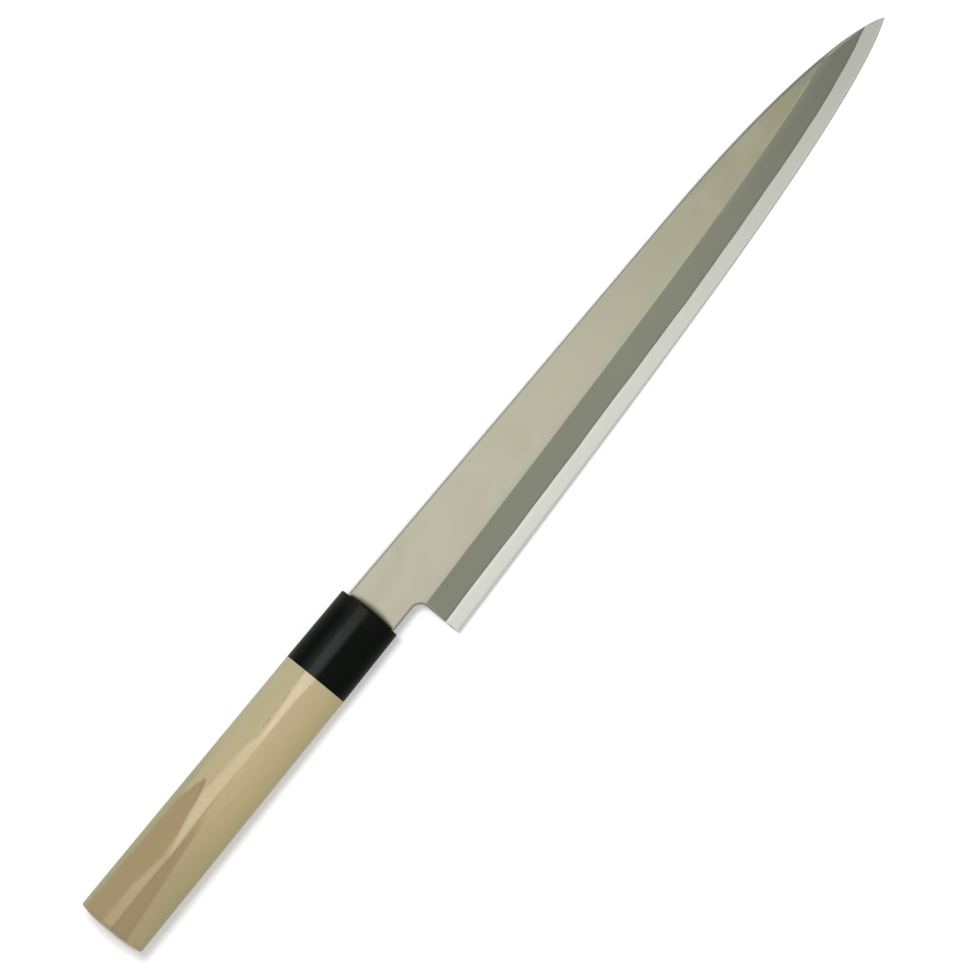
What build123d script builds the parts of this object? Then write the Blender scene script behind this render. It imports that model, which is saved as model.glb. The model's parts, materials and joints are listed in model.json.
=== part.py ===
from build123d import *
import math
import os

# A yanagiba, the long single-bevel knife for slicing fish. All sizes are in millimetres.
# It is drawn in the knife's own axes: X along the handle's axis towards the tip, Y towards the
# spine and Z out of the bevelled side, with the origin in the collar's front face. At the end
# the whole knife is laid on a table, hollow side down, and moved to its resting frame.

# How far any cutting shape runs past what it cuts
overrun = 6.0

# Blade, seen from its bevelled side
blade_length = 240.0
neck_above_axis = 8.9
neck_below_axis = 9.1
heel_setback = 12.4
heel_corner_radius = 3.2
tip_below_axis = 6.7
spine_straight_length = 150.0
spine_above_axis_at_bend = 6.3
spine_bend_share = 0.7
spine_tip_shares = (0.943, 0.713)

# Cutting edge, run back past the heel to the collar's face: places of its two inner guide points
edge_below_axis = 25.3
edge_length_shares = (0.428, 0.888)
edge_depth_shares = (0.857, 0.723)

# Bevel: its width from the edge to the ridge line, and how far the ridge line leans to the handle
bevel_width = 13.45
bevel_width_shares = (1.0, 1.018, 0.89, 0.836)
bevel_lean_shares = (0.033, 0.074, 0.14, 0.342)

# Blade thickness at the spine, and the thin flat left along the cutting edge
thickness_at_collar = 3.8
thickness_at_tip = 2.15
edge_land = 0.12

# Hard steel lamina: its thickness, and where it starts ahead of the collar
lamina_at_collar = 1.48
lamina_at_tip = 0.94
lamina_setback = 4.0

# Hollow grind of the back, cut by a wheel whose axis lies nearly along the blade
hollow_radius = 200.0
hollow_setback = 15.0
hollow_length = 213.0
hollow_depth = 0.5
hollow_run_out = 11.0
hollow_centre_at_heel = 8.0
hollow_centre_at_tip = 5.9

# Tang, tapered from the blade's shoulder to its end inside the handle
tang_length = 85.0
tang_height = 13.0
tang_end_height = 6.5
tang_thickness = 3.4
tang_end_thickness = 2.2
bedding_gap = 0.45
bedding_end_gap = 2.0

# Handle: at three places, its width across the knife, its depth below the axis, its rise to the
# ridge, and how far the ridge lies from the axis towards the spine
handle_length = 125.25
collar_length = 26.2
front_width = 21.6
front_depth = 8.5
front_rise = 9.4
front_ridge = 3.4
joint_width = 22.2
joint_depth = 8.9
joint_rise = 9.9
joint_ridge = 3.1
butt_width = 23.35
butt_depth = 9.4
butt_rise = 10.5
butt_ridge = 2.2
ridge_slope_deg = 13.0
ridge_radius = 7.0
butt_bevel_width = 5.0
butt_bevel_length = 1.0
collar_wall = 1.9
collar_chamfer = 0.45
side_fullness_share = 0.6
ridge_reach_share = 0.5

# Where along the cutting edge the knife touches the table it lies on
rest_touch_share = 0.94

# Worked out from the sizes above
back_level = -thickness_at_collar / 2
tip = Vector(blade_length, -tip_below_axis)
heel_inner_corner = Vector(heel_setback, -neck_below_axis)


def thickness_level(distance, at_collar, at_tip):
    """Height of a sloping layer of the blade, at a distance ahead of the collar."""
    return back_level + at_collar + (at_tip - at_collar) * distance / blade_length


def edge_points():
    """Guide points of the cutting edge in plan, from the collar's face to the tip."""
    inner = [
        Vector(along * blade_length, -down * edge_below_axis)
        for along, down in zip(edge_length_shares, edge_depth_shares)
    ]
    return [Vector(0, -edge_below_axis), *inner, tip]


def ridge_line_points():
    """Guide points of the bevel's ridge line, each on the blade's flat side."""
    points = []
    for foot, width, lean in zip(edge_points(), bevel_width_shares, bevel_lean_shares):
        x = foot.X - lean * bevel_width
        y = foot.Y + width * bevel_width
        points.append(Vector(x, y, thickness_level(x, thickness_at_collar, thickness_at_tip)))
    return points


def blade_outline():
    """Plan of the blade and neck, with the rounded corner between neck and heel."""
    bend = Vector(spine_straight_length, spine_above_axis_at_bend)
    collar_top = Vector(0, neck_above_axis)
    run = tip - bend
    leave = bend + (bend - collar_top) * (spine_bend_share * run.X / bend.X)
    arrive = Vector(bend.X + spine_tip_shares[0] * run.X, bend.Y + spine_tip_shares[1] * run.Y)
    edge = Bezier(*edge_points())
    spine = Bezier(tip, arrive, leave, bend)
    top = Polyline(bend, collar_top, edge_points()[0])
    plan = make_face(edge + spine + top)
    notch = Pos(heel_setback / 2, -neck_below_axis - edge_below_axis / 2)
    notch *= Rectangle(heel_setback, edge_below_axis)
    corner = notch.vertices().sort_by_distance(heel_inner_corner)[0]
    return plan - fillet(corner, heel_corner_radius)


def above_bevel():
    """Everything above the bevel: a ruled face from the edge to the ridge line, raised."""
    lift = Vector(0, 0, back_level + edge_land)
    feet = [point + lift for point in edge_points()]
    tops = ridge_line_points()
    reach = overrun / bevel_width
    outer = [foot - (top - foot) * reach for foot, top in zip(feet, tops)]
    inner = [top + (top - foot) * reach for foot, top in zip(feet, tops)]
    ramp = Face.make_surface_from_curves(Edge.make_bezier(*outer), Edge.make_bezier(*inner))
    return Solid.extrude(ramp, Vector(0, 0, thickness_at_collar + overrun))


def above_layer(at_collar, at_tip):
    """Everything above a sloping layer of the blade."""
    ends = (-overrun, blade_length + overrun)
    low = [Vector(x, thickness_level(x, at_collar, at_tip)) for x in ends]
    top = back_level + thickness_at_collar + overrun
    side = make_face(Polyline(*low, (ends[1], top), (ends[0], top), close=True))
    return extrude(Plane.XZ * side, edge_below_axis + overrun, both=True)


def back_hollow():
    """Shallow hollow of the back: the wheel's cylinder, run out on a ramp before the heel."""
    start = Vector(hollow_setback, -hollow_centre_at_heel, back_level + hollow_depth)
    end = Vector(hollow_setback + hollow_length, -hollow_centre_at_tip, back_level)
    along = (end - start).normalized()
    foot = start - along * overrun - Vector(0, 0, hollow_radius)
    wheel = Cylinder(hollow_radius, blade_length, align=(Align.CENTER, Align.CENTER, Align.MIN))
    wheel = Plane(origin=foot, z_dir=along) * wheel
    floor = back_level - overrun
    ramp = make_face(
        Polyline(
            (hollow_setback, floor),
            (hollow_setback, back_level),
            (hollow_setback + hollow_run_out, back_level + hollow_depth),
            (blade_length, back_level + hollow_depth),
            (blade_length, floor),
            close=True,
        )
    )
    return wheel & extrude(Plane.XZ * ramp, edge_below_axis + overrun, both=True)


def blade():
    """The whole laminated blade with its neck, before it is parted into iron and steel."""
    blank = extrude(Pos(0, 0, back_level) * blade_outline(), thickness_at_collar)
    blank -= above_layer(thickness_at_collar, thickness_at_tip)
    blank -= above_bevel()
    return blank - back_hollow()


def lamina_space():
    """The space that the hard steel fills within the blade."""
    length = blade_length + overrun - lamina_setback
    height = thickness_at_collar + overrun
    middle = Pos(lamina_setback + length / 2, -edge_below_axis / 2, back_level)
    block = middle * Box(length, edge_below_axis * 2, height)
    return block - above_layer(lamina_at_collar, lamina_at_tip)


def tapered_bar(height, thickness, length, end_height, end_thickness):
    """A bar that tapers from the collar's face into the handle."""
    near = Plane.YZ * Rectangle(height, thickness)
    far = Plane.YZ.offset(-length) * Rectangle(end_height, end_thickness)
    return loft([near, far], ruled=True)


def tang():
    """The blade's tang."""
    return tapered_bar(tang_height, tang_thickness, tang_length, tang_end_height, tang_end_thickness)


def tang_slot():
    """The slot burnt into the handle for the tang and its bedding."""
    room = 2 * bedding_gap
    return tapered_bar(
        tang_height + room,
        tang_thickness + room,
        tang_length + bedding_end_gap,
        tang_end_height + room,
        tang_end_thickness + room,
    )


def handle_section(x, width, depth, rise, ridge_offset, inset=0):
    """One section of the handle: half an oval below, two flatter faces meeting in a ridge above."""
    half = width / 2 - inset
    low = depth - inset
    high = rise - inset
    slope = math.tan(math.radians(ridge_slope_deg))
    ridge = Vector(ridge_offset, high)
    section = EllipticalCenterArc((0, 0), half, low, start_angle=180, arc_size=180)
    for side in (1, -1):
        reach = (half - side * ridge.X) * ridge_reach_share
        section += Bezier(
            (side * half, 0),
            (side * half, high * side_fullness_share),
            (ridge.X + side * reach, high - slope * reach),
            ridge,
        )
    return Plane.YZ.offset(x) * make_face(section)


def front_section(inset=0):
    """The handle's section at the collar's front face."""
    return handle_section(0, front_width, front_depth, front_rise, front_ridge, inset)


def joint_section(inset=0):
    """The handle's section where the collar meets the wood."""
    place = -collar_length
    return handle_section(place, joint_width, joint_depth, joint_rise, joint_ridge, inset)


def round_ridge(body):
    """Softens the ridge that runs along the top of the handle."""
    ridge = body.edges().sort_by(Axis.Z)[-1]
    return fillet(ridge, ridge_radius)


def handle_tenon():
    """The turned-down front of the handle, which the collar sits on."""
    return loft([joint_section(collar_wall), front_section(collar_wall)], ruled=True)


def make_collar():
    """The collar ring."""
    ring = round_ridge(loft([joint_section(), front_section()], ruled=True))
    rim = ring.faces().sort_by(Axis.X)[-1].edges()
    return chamfer(rim, collar_chamfer) - handle_tenon()


def make_handle_body():
    """The wooden handle with its tenon and the slot for the tang."""
    butt = handle_section(-handle_length, butt_width, butt_depth, butt_rise, butt_ridge)
    grip = round_ridge(loft([butt, joint_section()], ruled=True))
    end = grip.faces().sort_by(Axis.X)[0]
    grip = chamfer(end.edges(), butt_bevel_width, butt_bevel_length, reference=end)
    return grip + handle_tenon() - tang_slot()


def make_tang_bedding():
    """The adhesive round the tang."""
    return tang_slot() - tang()


def make_hard_steel_edge():
    """The hard steel lamina: the back and the cutting edge."""
    return blade() & lamina_space()


def make_soft_iron_body():
    """The soft iron: the blade above the lamina, the neck and the tang."""
    return blade() - lamina_space() + tang()


def table_top():
    """The table in the knife's axes: it touches the cutting edge and the collar's lower front rim."""
    edge = Edge.make_bezier(*edge_points())
    touch = edge.position_at(rest_touch_share)
    along = edge.tangent_at(rest_touch_share)
    across = Vector(-along.Y, along.X)
    drop = -back_level
    reach = -collar_chamfer * across.X - across.dot(touch)
    spread = reach**2 - (across.Y * front_width / 2) ** 2
    root = math.sqrt((reach * drop) ** 2 + spread * (front_depth**2 - drop**2))
    slope = (root - reach * drop) / spread
    normal = Vector(0, 0, 1) + across * slope
    return Plane(origin=touch + Vector(0, 0, back_level), x_dir=(1, 0, 0), z_dir=normal)


def lay_down(pieces):
    """Lays the knife on the table and centres it over the origin."""
    table = table_top()
    laid = {name: table.to_local_coords(piece) for name, piece in pieces.items()}
    box = Compound(list(laid.values())).bounding_box()
    move = Pos(-box.center().X, -box.center().Y, -box.min.Z)
    return {name: move * piece for name, piece in laid.items()}


knife = lay_down(
    {
        "soft_iron_body": make_soft_iron_body(),
        "hard_steel_edge": make_hard_steel_edge(),
        "handle_body": make_handle_body(),
        "collar": make_collar(),
        "tang_bedding": make_tang_bedding(),
    }
)

os.makedirs("parts", exist_ok=True)
for name, piece in knife.items():
    export_step(piece, f"parts/{name}.step")
    print(name, "solids", len(piece.solids()), "volume", round(piece.volume, 1))
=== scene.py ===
"""The looks of a yanagiba knife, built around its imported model.

Shapes are drawn in millimetres in the knife's own axes: X along the handle's axis towards the tip,
Y towards the spine, Z out of the bevelled side, with the origin in the collar's front face. The
Resting class then lays them on the table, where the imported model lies.
"""
import json
import logging
import math
from dataclasses import dataclass, field, replace
from enum import Enum
from typing import Any, Callable, Sequence

import bmesh
import bpy
import numpy as np
from mathutils import Matrix, Vector
from mathutils.geometry import delaunay_2d_cdt


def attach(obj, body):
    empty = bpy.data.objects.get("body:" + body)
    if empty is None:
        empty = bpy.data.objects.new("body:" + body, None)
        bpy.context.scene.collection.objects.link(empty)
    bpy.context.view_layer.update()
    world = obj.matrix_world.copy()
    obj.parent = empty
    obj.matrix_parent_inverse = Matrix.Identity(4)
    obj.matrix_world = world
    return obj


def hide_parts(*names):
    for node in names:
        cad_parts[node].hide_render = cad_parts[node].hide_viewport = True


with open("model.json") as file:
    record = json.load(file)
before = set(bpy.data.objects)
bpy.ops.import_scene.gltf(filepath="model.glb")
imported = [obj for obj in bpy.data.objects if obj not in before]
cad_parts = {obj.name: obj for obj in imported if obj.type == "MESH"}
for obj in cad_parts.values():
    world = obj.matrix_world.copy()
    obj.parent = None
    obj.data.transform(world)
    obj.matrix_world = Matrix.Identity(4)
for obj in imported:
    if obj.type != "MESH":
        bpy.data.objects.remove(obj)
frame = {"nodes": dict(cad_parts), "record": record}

LOG = logging.getLogger("knife")
MM = 0.001
SLIVER = 2e-5
TOUCH = 1e-5
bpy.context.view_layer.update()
Colour = tuple[float, float, float]
Point = tuple[float, float]


def blend(start: Any, end: Any, share: Any) -> Any:
    """Returns the value at a share of the way from start to end."""
    return start + (end - start) * share


def blend_point(start: Sequence[Any], end: Sequence[Any], share: Any) -> tuple[Any, ...]:
    """Returns the point at a share of the way from start to end."""
    return tuple(blend(a, b, share) for a, b in zip(start, end))


def bezier(guides: Sequence[Sequence[float]], share: Any) -> np.ndarray:
    """Points of a cubic curve.

    Args:
        guides: Its four guide points.
        share: Where along the curve, one share or an array of them.

    Returns:
        One row for each share.
    """
    p = np.asarray(guides, float)
    t = np.atleast_1d(np.asarray(share, float))[:, None]
    return (1 - t) ** 3 * p[0] + 3 * (1 - t) ** 2 * t * p[1] + 3 * (1 - t) * t**2 * p[2] + t**3 * p[3]


def spaced(start: Sequence[float], end: Sequence[float], step: float) -> np.ndarray:
    """Points of a straight line.

    Args:
        start: First point.
        end: Last point, which is left to whatever follows.
        step: Largest distance between two points.

    Returns:
        One row for each point.
    """
    a, b = np.asarray(start, float), np.asarray(end, float)
    count = max(1, math.ceil(float(np.hypot(*(b - a))) / step))
    return np.array([blend(a, b, i / count) for i in range(count)])


@dataclass(frozen=True)
class BladeShape:
    """Outline and surfaces of the blade, in the knife's own axes."""

    length: float = 240.0
    neck_above: float = 8.9
    neck_below: float = 9.1
    heel_setback: float = 12.4
    corner_radius: float = 3.2
    tip_below: float = 6.7
    bend_at: float = 150.0
    bend_above: float = 6.3
    bend_share: float = 0.7
    spine_tip_shares: Point = (0.943, 0.713)
    edge_below: float = 25.3
    edge_length_shares: Point = (0.428, 0.888)
    edge_depth_shares: Point = (0.857, 0.723)
    bevel_width: float = 13.45
    bevel_width_shares: tuple[float, ...] = (1.0, 1.018, 0.89, 0.836)
    bevel_lean_shares: tuple[float, ...] = (0.033, 0.074, 0.14, 0.342)
    thickness_at_collar: float = 3.8
    thickness_at_tip: float = 2.15
    edge_land: float = 0.12
    lamina_at_collar: float = 1.48
    lamina_at_tip: float = 0.94
    lamina_setback: float = 4.0
    hollow_radius: float = 200.0
    hollow_setback: float = 15.0
    hollow_length: float = 213.0
    hollow_depth: float = 0.5
    hollow_run_out: float = 11.0
    hollow_centres: Point = (8.0, 5.9)
    keen_land: float = 0.03
    keen_slope: float = 0.47
    ripple: float = 0.011
    ripple_waves: tuple[tuple[float, float, float], ...] = (
        (23.0, 0.5, 0.4),
        (61.0, 0.3, 1.9),
        (127.0, 0.2, 4.1),
    )
    weld_fade: float = 0.3
    line_reach: float = 2e-3
    samples: int = 600

    @property
    def back(self) -> float:
        """Height of the blade's flat back."""
        return -self.thickness_at_collar / 2

    def edge_guides(self) -> np.ndarray:
        """Places the cutting edge in plan.

        Returns:
            Its four guide points, from the collar to the tip.
        """
        inner = [
            (along * self.length, -down * self.edge_below)
            for along, down in zip(self.edge_length_shares, self.edge_depth_shares)
        ]
        return np.array([(0, -self.edge_below), *inner, (self.length, -self.tip_below)])

    def ridge_guides(self) -> np.ndarray:
        """Places the bevel's ridge line in plan.

        Returns:
            Its four guide points, from the collar to the tip.
        """
        lean = np.array(self.bevel_lean_shares) * self.bevel_width
        width = np.array(self.bevel_width_shares) * self.bevel_width
        return self.edge_guides() + np.column_stack([-lean, width])

    def spine_guides(self) -> np.ndarray:
        """Places the spine's curve in plan.

        Returns:
            Its four guide points, from its bend to the tip.
        """
        bend = np.array([self.bend_at, self.bend_above])
        tip = np.array([self.length, -self.tip_below])
        run = tip - bend
        leave = bend + (bend - (0, self.neck_above)) * self.bend_share * run[0] / self.bend_at
        return np.array([bend, leave, bend + run * self.spine_tip_shares, tip])

    def layer(self, x: Any, at_collar: float, at_tip: float) -> Any:
        """Returns the height of a sloping layer at each distance."""
        return self.back + blend(at_collar, at_tip, x / self.length)

    def flat_height(self, x: Any) -> Any:
        """Returns the height of the flat upper side."""
        return self.layer(x, self.thickness_at_collar, self.thickness_at_tip)

    def weld_height(self, x: Any) -> Any:
        """Returns the height of the weld between iron and steel."""
        return self.layer(x, self.lamina_at_collar, self.lamina_at_tip)

    def ruling(self, share: Any) -> tuple[np.ndarray, np.ndarray]:
        """Feet on the edge and tops on the ridge line of the bevel's straight lines."""
        return bezier(self.edge_guides(), share), bezier(self.ridge_guides(), share)

    def bevel_place(self, points: np.ndarray) -> tuple[np.ndarray, np.ndarray]:
        """Finds where points lie on the bevel.

        Args:
            points: Plan points, one row each.

        Returns:
            Each point's share along the edge, and its share of the way from edge to ridge line.
        """
        share = np.linspace(0, 1, self.samples)
        foot, top = self.ruling(share)
        way = top - foot
        gap = points[:, None, :] - foot[None, :, :]
        side = way[:, 0] * gap[:, :, 1] - way[:, 1] * gap[:, :, 0]
        ahead = np.clip((side < 0).sum(axis=1), 1, self.samples - 1)
        row = np.arange(len(points))
        near, far = side[row, ahead - 1], side[row, ahead]
        along = np.clip(share[ahead - 1] + near / (near - far) * share[1], 0, 1)
        foot, top = self.ruling(along)
        way = top - foot
        rise = np.einsum("ij,ij->i", points - foot, way) / np.einsum("ij,ij->i", way, way)
        return along, rise

    def bevel_rise(self, along: Any) -> np.ndarray:
        """Returns how much higher the bevel's ridge line lies than its foot."""
        _, top = self.ruling(along)
        return self.flat_height(top[:, 0]) - self.back - self.edge_land

    def keen_share(self, along: Any) -> np.ndarray:
        """Returns the share of the bevel's width that the fine second bevel takes."""
        steep = self.keen_slope * self.bevel_width
        return (self.edge_land - self.keen_land) / (steep - self.bevel_rise(along))

    def forging(self, along: Any) -> np.ndarray:
        """Returns the slight ripple of the weld line, as a share of the bevel's width."""
        waves = (size * np.sin(rate * along + start) for rate, size, start in self.ripple_waves)
        return self.ripple * sum(waves)

    def weld_share(self, along: Any) -> np.ndarray:
        """Finds how far up the bevel the weld line runs.

        Args:
            along: Shares along the edge.

        Returns:
            The line's share of the bevel's width at each.
        """
        _, top = self.ruling(along)
        level = self.weld_height(top[:, 0]) - self.back - self.edge_land
        return level / self.bevel_rise(along) + self.forging(np.atleast_1d(along))

    def top_height(self, points: np.ndarray) -> np.ndarray:
        """Finds the height of the finished upper side.

        Args:
            points: Plan points, one row each.

        Returns:
            The height over each point.
        """
        along, rise = self.bevel_place(points)
        bevel = self.edge_land + rise * self.bevel_rise(along)
        keen = self.keen_land + self.keen_slope * rise * self.bevel_width
        return np.minimum(self.flat_height(points[:, 0]), self.back + np.minimum(bevel, keen))

    def interface_height(self, points: np.ndarray) -> np.ndarray:
        """Finds the height at which iron and steel meet, which ends in the weld line.

        Args:
            points: Plan points, one row each.

        Returns:
            The height over each point.
        """
        along, rise = self.bevel_place(points)
        past = rise - self.weld_share(along)
        lift = self.forging(along) * self.bevel_rise(along) * np.clip(1 - past / self.weld_fade, 0, 1)
        on_line = np.abs(past) < self.line_reach
        return np.where(on_line, self.top_height(points), self.weld_height(points[:, 0]) + lift)

    def marks(self, points: np.ndarray) -> np.ndarray:
        """Returns, for each point, its share along the edge and its millimetres past the lines.

        Args:
            points: Points of a piece.

        Returns:
            Share along the edge, distance above the weld line, and distance above the ridge line.
        """
        along, rise = self.bevel_place(points[:, :2])
        foot, top = self.ruling(along)
        width = np.hypot(*(top - foot).T)
        return np.column_stack([along, (rise - self.weld_share(along)) * width, (rise - 1) * width])

    def steel_marks(self, points: np.ndarray) -> np.ndarray:
        """Gives the same marks, with the distance from the edge as the last.

        Args:
            points: Points of a piece.

        Returns:
            Share along the edge, distance above the weld line, and distance from the edge.
        """
        along, rise = self.bevel_place(points[:, :2])
        foot, top = self.ruling(along)
        return np.column_stack([self.marks(points)[:, :2], rise * np.hypot(*(top - foot).T)])

    def hollow_depth_at(self, points: np.ndarray) -> np.ndarray:
        """Finds how deep the back is hollowed.

        Args:
            points: Plan points, one row each.

        Returns:
            The depth over each point.
        """
        share = (points[:, 0] - self.hollow_setback) / self.hollow_length
        middle = -blend(self.hollow_centres[0], self.hollow_centres[1], share)
        wheel = self.hollow_depth * (1 - share) - (points[:, 1] - middle) ** 2 / (2 * self.hollow_radius)
        ramp = (points[:, 0] - self.hollow_setback) * self.hollow_depth / self.hollow_run_out
        return np.clip(np.minimum(wheel, ramp), 0, None)

    def hollow_rim(self, step: float) -> np.ndarray:
        """Draws the loop round the hollow.

        Args:
            step: Distance between two of its points.

        Returns:
            Its points in order.
        """
        count = int(self.hollow_length / step)
        share = np.linspace(0, 1, count)
        x = self.hollow_setback + share * self.hollow_length
        middle = -blend(self.hollow_centres[0], self.hollow_centres[1], share)
        half = np.sqrt(2 * self.hollow_radius * self.hollow_depth * (1 - share))
        upper = np.column_stack([x, middle + half])
        lower = np.column_stack([x, middle - half])[:-1]
        end = spaced(upper[0], lower[0], step)[1:]
        return np.vstack([upper[::-1], end, lower])


class Face(Enum):
    """Finishes that the blade's faces carry, each with its own material."""

    FLAT = "ground_flat"
    MISTY = "misty_bevel"
    BRIGHT = "bright_bevel"
    KEEN = "keen_edge"
    SPINE = "eased_spine"
    RIM = "back_rim"
    HOLLOW = "back_hollow"
    INNER = "hidden_steel"


class Resting:
    """The place of the knife on the table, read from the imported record's mounts."""

    SEAT = (60.0, 7.0)

    def __init__(self, record: dict[str, Any], level: float) -> None:
        """Works out how the knife's axes lie in the frame.

        Args:
            record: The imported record.
            level: Height of the blade's back in the knife's axes.
        """
        mounts = {mount["name"]: mount for mount in record["mounts"]}
        ahead = -Vector(mounts["butt_face"]["axis"]).normalized()
        out = -Vector(mounts["back_flat"]["axis"]).normalized()
        across = out.cross(ahead).normalized()
        turn = Matrix((ahead, across, ahead.cross(across))).transposed()
        seat = Vector((*self.SEAT, level)) * MM
        place = Vector(mounts["back_flat"]["pos_m"]) - turn @ seat
        self.turn = turn
        self.matrix = Matrix.Translation(place) @ turn.to_4x4()

    def point(self, x: float, y: float, z: float) -> Vector:
        """Returns where a point of the knife, in millimetres, lies in the frame."""
        return self.matrix @ (Vector((x, y, z)) * MM)


class Shell:
    """Gathers a closed surface in the knife's axes and turns it into a piece."""

    NEAR = 0.01

    def __init__(self, name: str) -> None:
        """Starts an empty surface.

        Args:
            name: Name of the piece.
        """
        self.name = name
        self.mesh = bmesh.new()
        self.finishes: list[Any] = []

    def number(self, finish: Any) -> int:
        """Finds the number of a finish, and gives a new one the next number.

        Args:
            finish: The finish.

        Returns:
            Its number among the piece's finishes.
        """
        if finish not in self.finishes:
            self.finishes.append(finish)
        return self.finishes.index(finish)

    def face(self, points: Sequence[Sequence[float]], finish: Any) -> None:
        """Adds one face.

        Args:
            points: Its corners in millimetres.
            finish: Its finish.
        """
        corners = [self.mesh.verts.new(point) for point in points]
        self.mesh.faces.new(corners).material_index = self.number(finish)

    def strip(self, first: np.ndarray, second: np.ndarray, finish: Any) -> None:
        """Joins two rows of points with four-sided faces.

        Args:
            first: One row of points.
            second: The other row, as long as the first.
            finish: Finish of the faces.
        """
        for i in range(len(first) - 1):
            self.face([first[i], first[i + 1], second[i + 1], second[i]], finish)

    def wedge(self, front: Point, end: Point, length: float, finish: Any) -> None:
        """Adds a four-sided wedge behind the collar's front face, open at its front.

        Args:
            front: Its height and thickness at the front.
            end: Its height and thickness at its end.
            length: Its length.
            finish: Finish of its faces.
        """
        corners = ((1, 1), (-1, 1), (-1, -1), (1, -1), (1, 1))
        rings = [
            np.array([(x, sy * tall / 2, sz * thick / 2) for sy, sz in corners])
            for x, (tall, thick) in ((0.0, front), (-length, end))
        ]
        self.strip(rings[0], rings[1], finish)
        self.face(rings[1][:-1], finish)

    def take(self, mesh: bpy.types.Mesh, finish: Any) -> None:
        """Adds a mesh that was made elsewhere, and removes the original.

        Args:
            mesh: The mesh, in millimetres.
            finish: Finish of its faces.
        """
        known = len(self.mesh.faces)
        self.mesh.from_mesh(mesh)
        self.mesh.faces.ensure_lookup_table()
        for face in self.mesh.faces[known:]:
            face.material_index = self.number(finish)
        bpy.data.meshes.remove(mesh)

    def close_doubles(self, reach: float = 0.001) -> None:
        """Joins points that lie on each other, which closes the seams between sheets."""
        bmesh.ops.remove_doubles(self.mesh, verts=self.mesh.verts, dist=reach)

    def open_edges(self, x: float) -> list[Any]:
        """Finds the edges that have one face only, at one distance ahead of the collar.

        Args:
            x: The distance.

        Returns:
            The edges.
        """
        return [
            edge
            for edge in self.mesh.edges
            if edge.is_boundary and all(abs(v.co.x - x) < self.NEAR for v in edge.verts)
        ]

    def fill(self, x: float, finish: Any) -> None:
        """Fills the flat opening at a distance ahead of the collar, round any hole in it.

        Args:
            x: The distance.
            finish: Finish of the faces.
        """
        made = bmesh.ops.triangle_fill(self.mesh, edges=self.open_edges(x), use_beauty=True)
        for item in made["geom"]:
            if isinstance(item, bmesh.types.BMFace):
                item.material_index = self.number(finish)

    def bridge(self, x: float) -> None:
        """Joins the two open loops at a distance ahead of the collar."""
        bmesh.ops.bridge_loops(self.mesh, edges=self.open_edges(x))

    def ease(self, edges: list[Any], size: float, steps: int) -> None:
        """Rounds edges.

        Args:
            edges: The edges.
            size: How far the round reaches from them.
            steps: Faces across the round.
        """
        bmesh.ops.bevel(
            self.mesh,
            geom=edges,
            offset=size,
            offset_type="OFFSET",
            segments=steps,
            profile=0.5,
            affect="EDGES",
            clamp_overlap=True,
        )

    def piece(
        self,
        resting: Resting,
        materials: dict[Any, bpy.types.Material],
        crease: float,
        marks: Callable[[np.ndarray], np.ndarray] | None = None,
    ) -> bpy.types.Object:
        """Finishes the piece.

        Args:
            resting: Where the knife lies.
            materials: The material of each finish.
            crease: Angle in degrees above which an edge stays sharp.
            marks: Gives three numbers for each point that its materials read.

        Returns:
            The object, with its place in its mesh.
        """
        bmesh.ops.recalc_face_normals(self.mesh, faces=self.mesh.faces)
        open_count = sum(not edge.is_manifold for edge in self.mesh.edges)
        mesh = bpy.data.meshes.new(self.name)
        self.mesh.to_mesh(mesh)
        self.mesh.free()
        if marks is not None:
            points = np.array([vertex.co for vertex in mesh.vertices])
            values = mesh.attributes.new("marks", "FLOAT_VECTOR", "POINT")
            values.data.foreach_set("vector", marks(points).astype(np.float32).ravel())
        mesh.transform(resting.matrix @ Matrix.Scale(MM, 4))
        for finish in self.finishes:
            mesh.materials.append(materials[finish])
        self.soften(mesh, crease)
        item = bpy.data.objects.new(self.name, mesh)
        bpy.context.scene.collection.objects.link(item)
        LOG.info("%s: %d faces, %d open edges", self.name, len(mesh.polygons), open_count)
        return item

    @staticmethod
    def soften(mesh: bpy.types.Mesh, crease: float) -> None:
        """Smooths the shading, but for sharp edges and edges between two finishes.

        Args:
            mesh: The mesh.
            crease: Angle in degrees above which an edge stays sharp.
        """
        mesh.shade_smooth()
        mesh.set_sharp_from_angle(angle=math.radians(crease))
        seen: dict[tuple[int, int], int] = {}
        border = set()
        for polygon in mesh.polygons:
            for key in polygon.edge_keys:
                if seen.setdefault(key, polygon.material_index) != polygon.material_index:
                    border.add(key)
        sharp = mesh.attributes.get("sharp_edge") or mesh.attributes.new("sharp_edge", "BOOLEAN", "EDGE")
        for edge in mesh.edges:
            if tuple(sorted(edge.vertices)) in border:
                sharp.data[edge.index].value = True


def inside(points: np.ndarray, loop: np.ndarray) -> np.ndarray:
    """Tells which plan points lie within a closed loop.

    Args:
        points: Points, one row each.
        loop: The loop's points in order.

    Returns:
        True for each point within it.
    """
    odd = np.zeros(len(points), bool)
    for a, b in zip(loop, np.roll(loop, -1, axis=0)):
        if a[1] == b[1]:
            continue
        spans = (points[:, 1] < a[1]) != (points[:, 1] < b[1])
        crossing = a[0] + (points[:, 1] - a[1]) * (b[0] - a[0]) / (b[1] - a[1])
        odd ^= spans & (points[:, 0] < crossing)
    return odd


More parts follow.
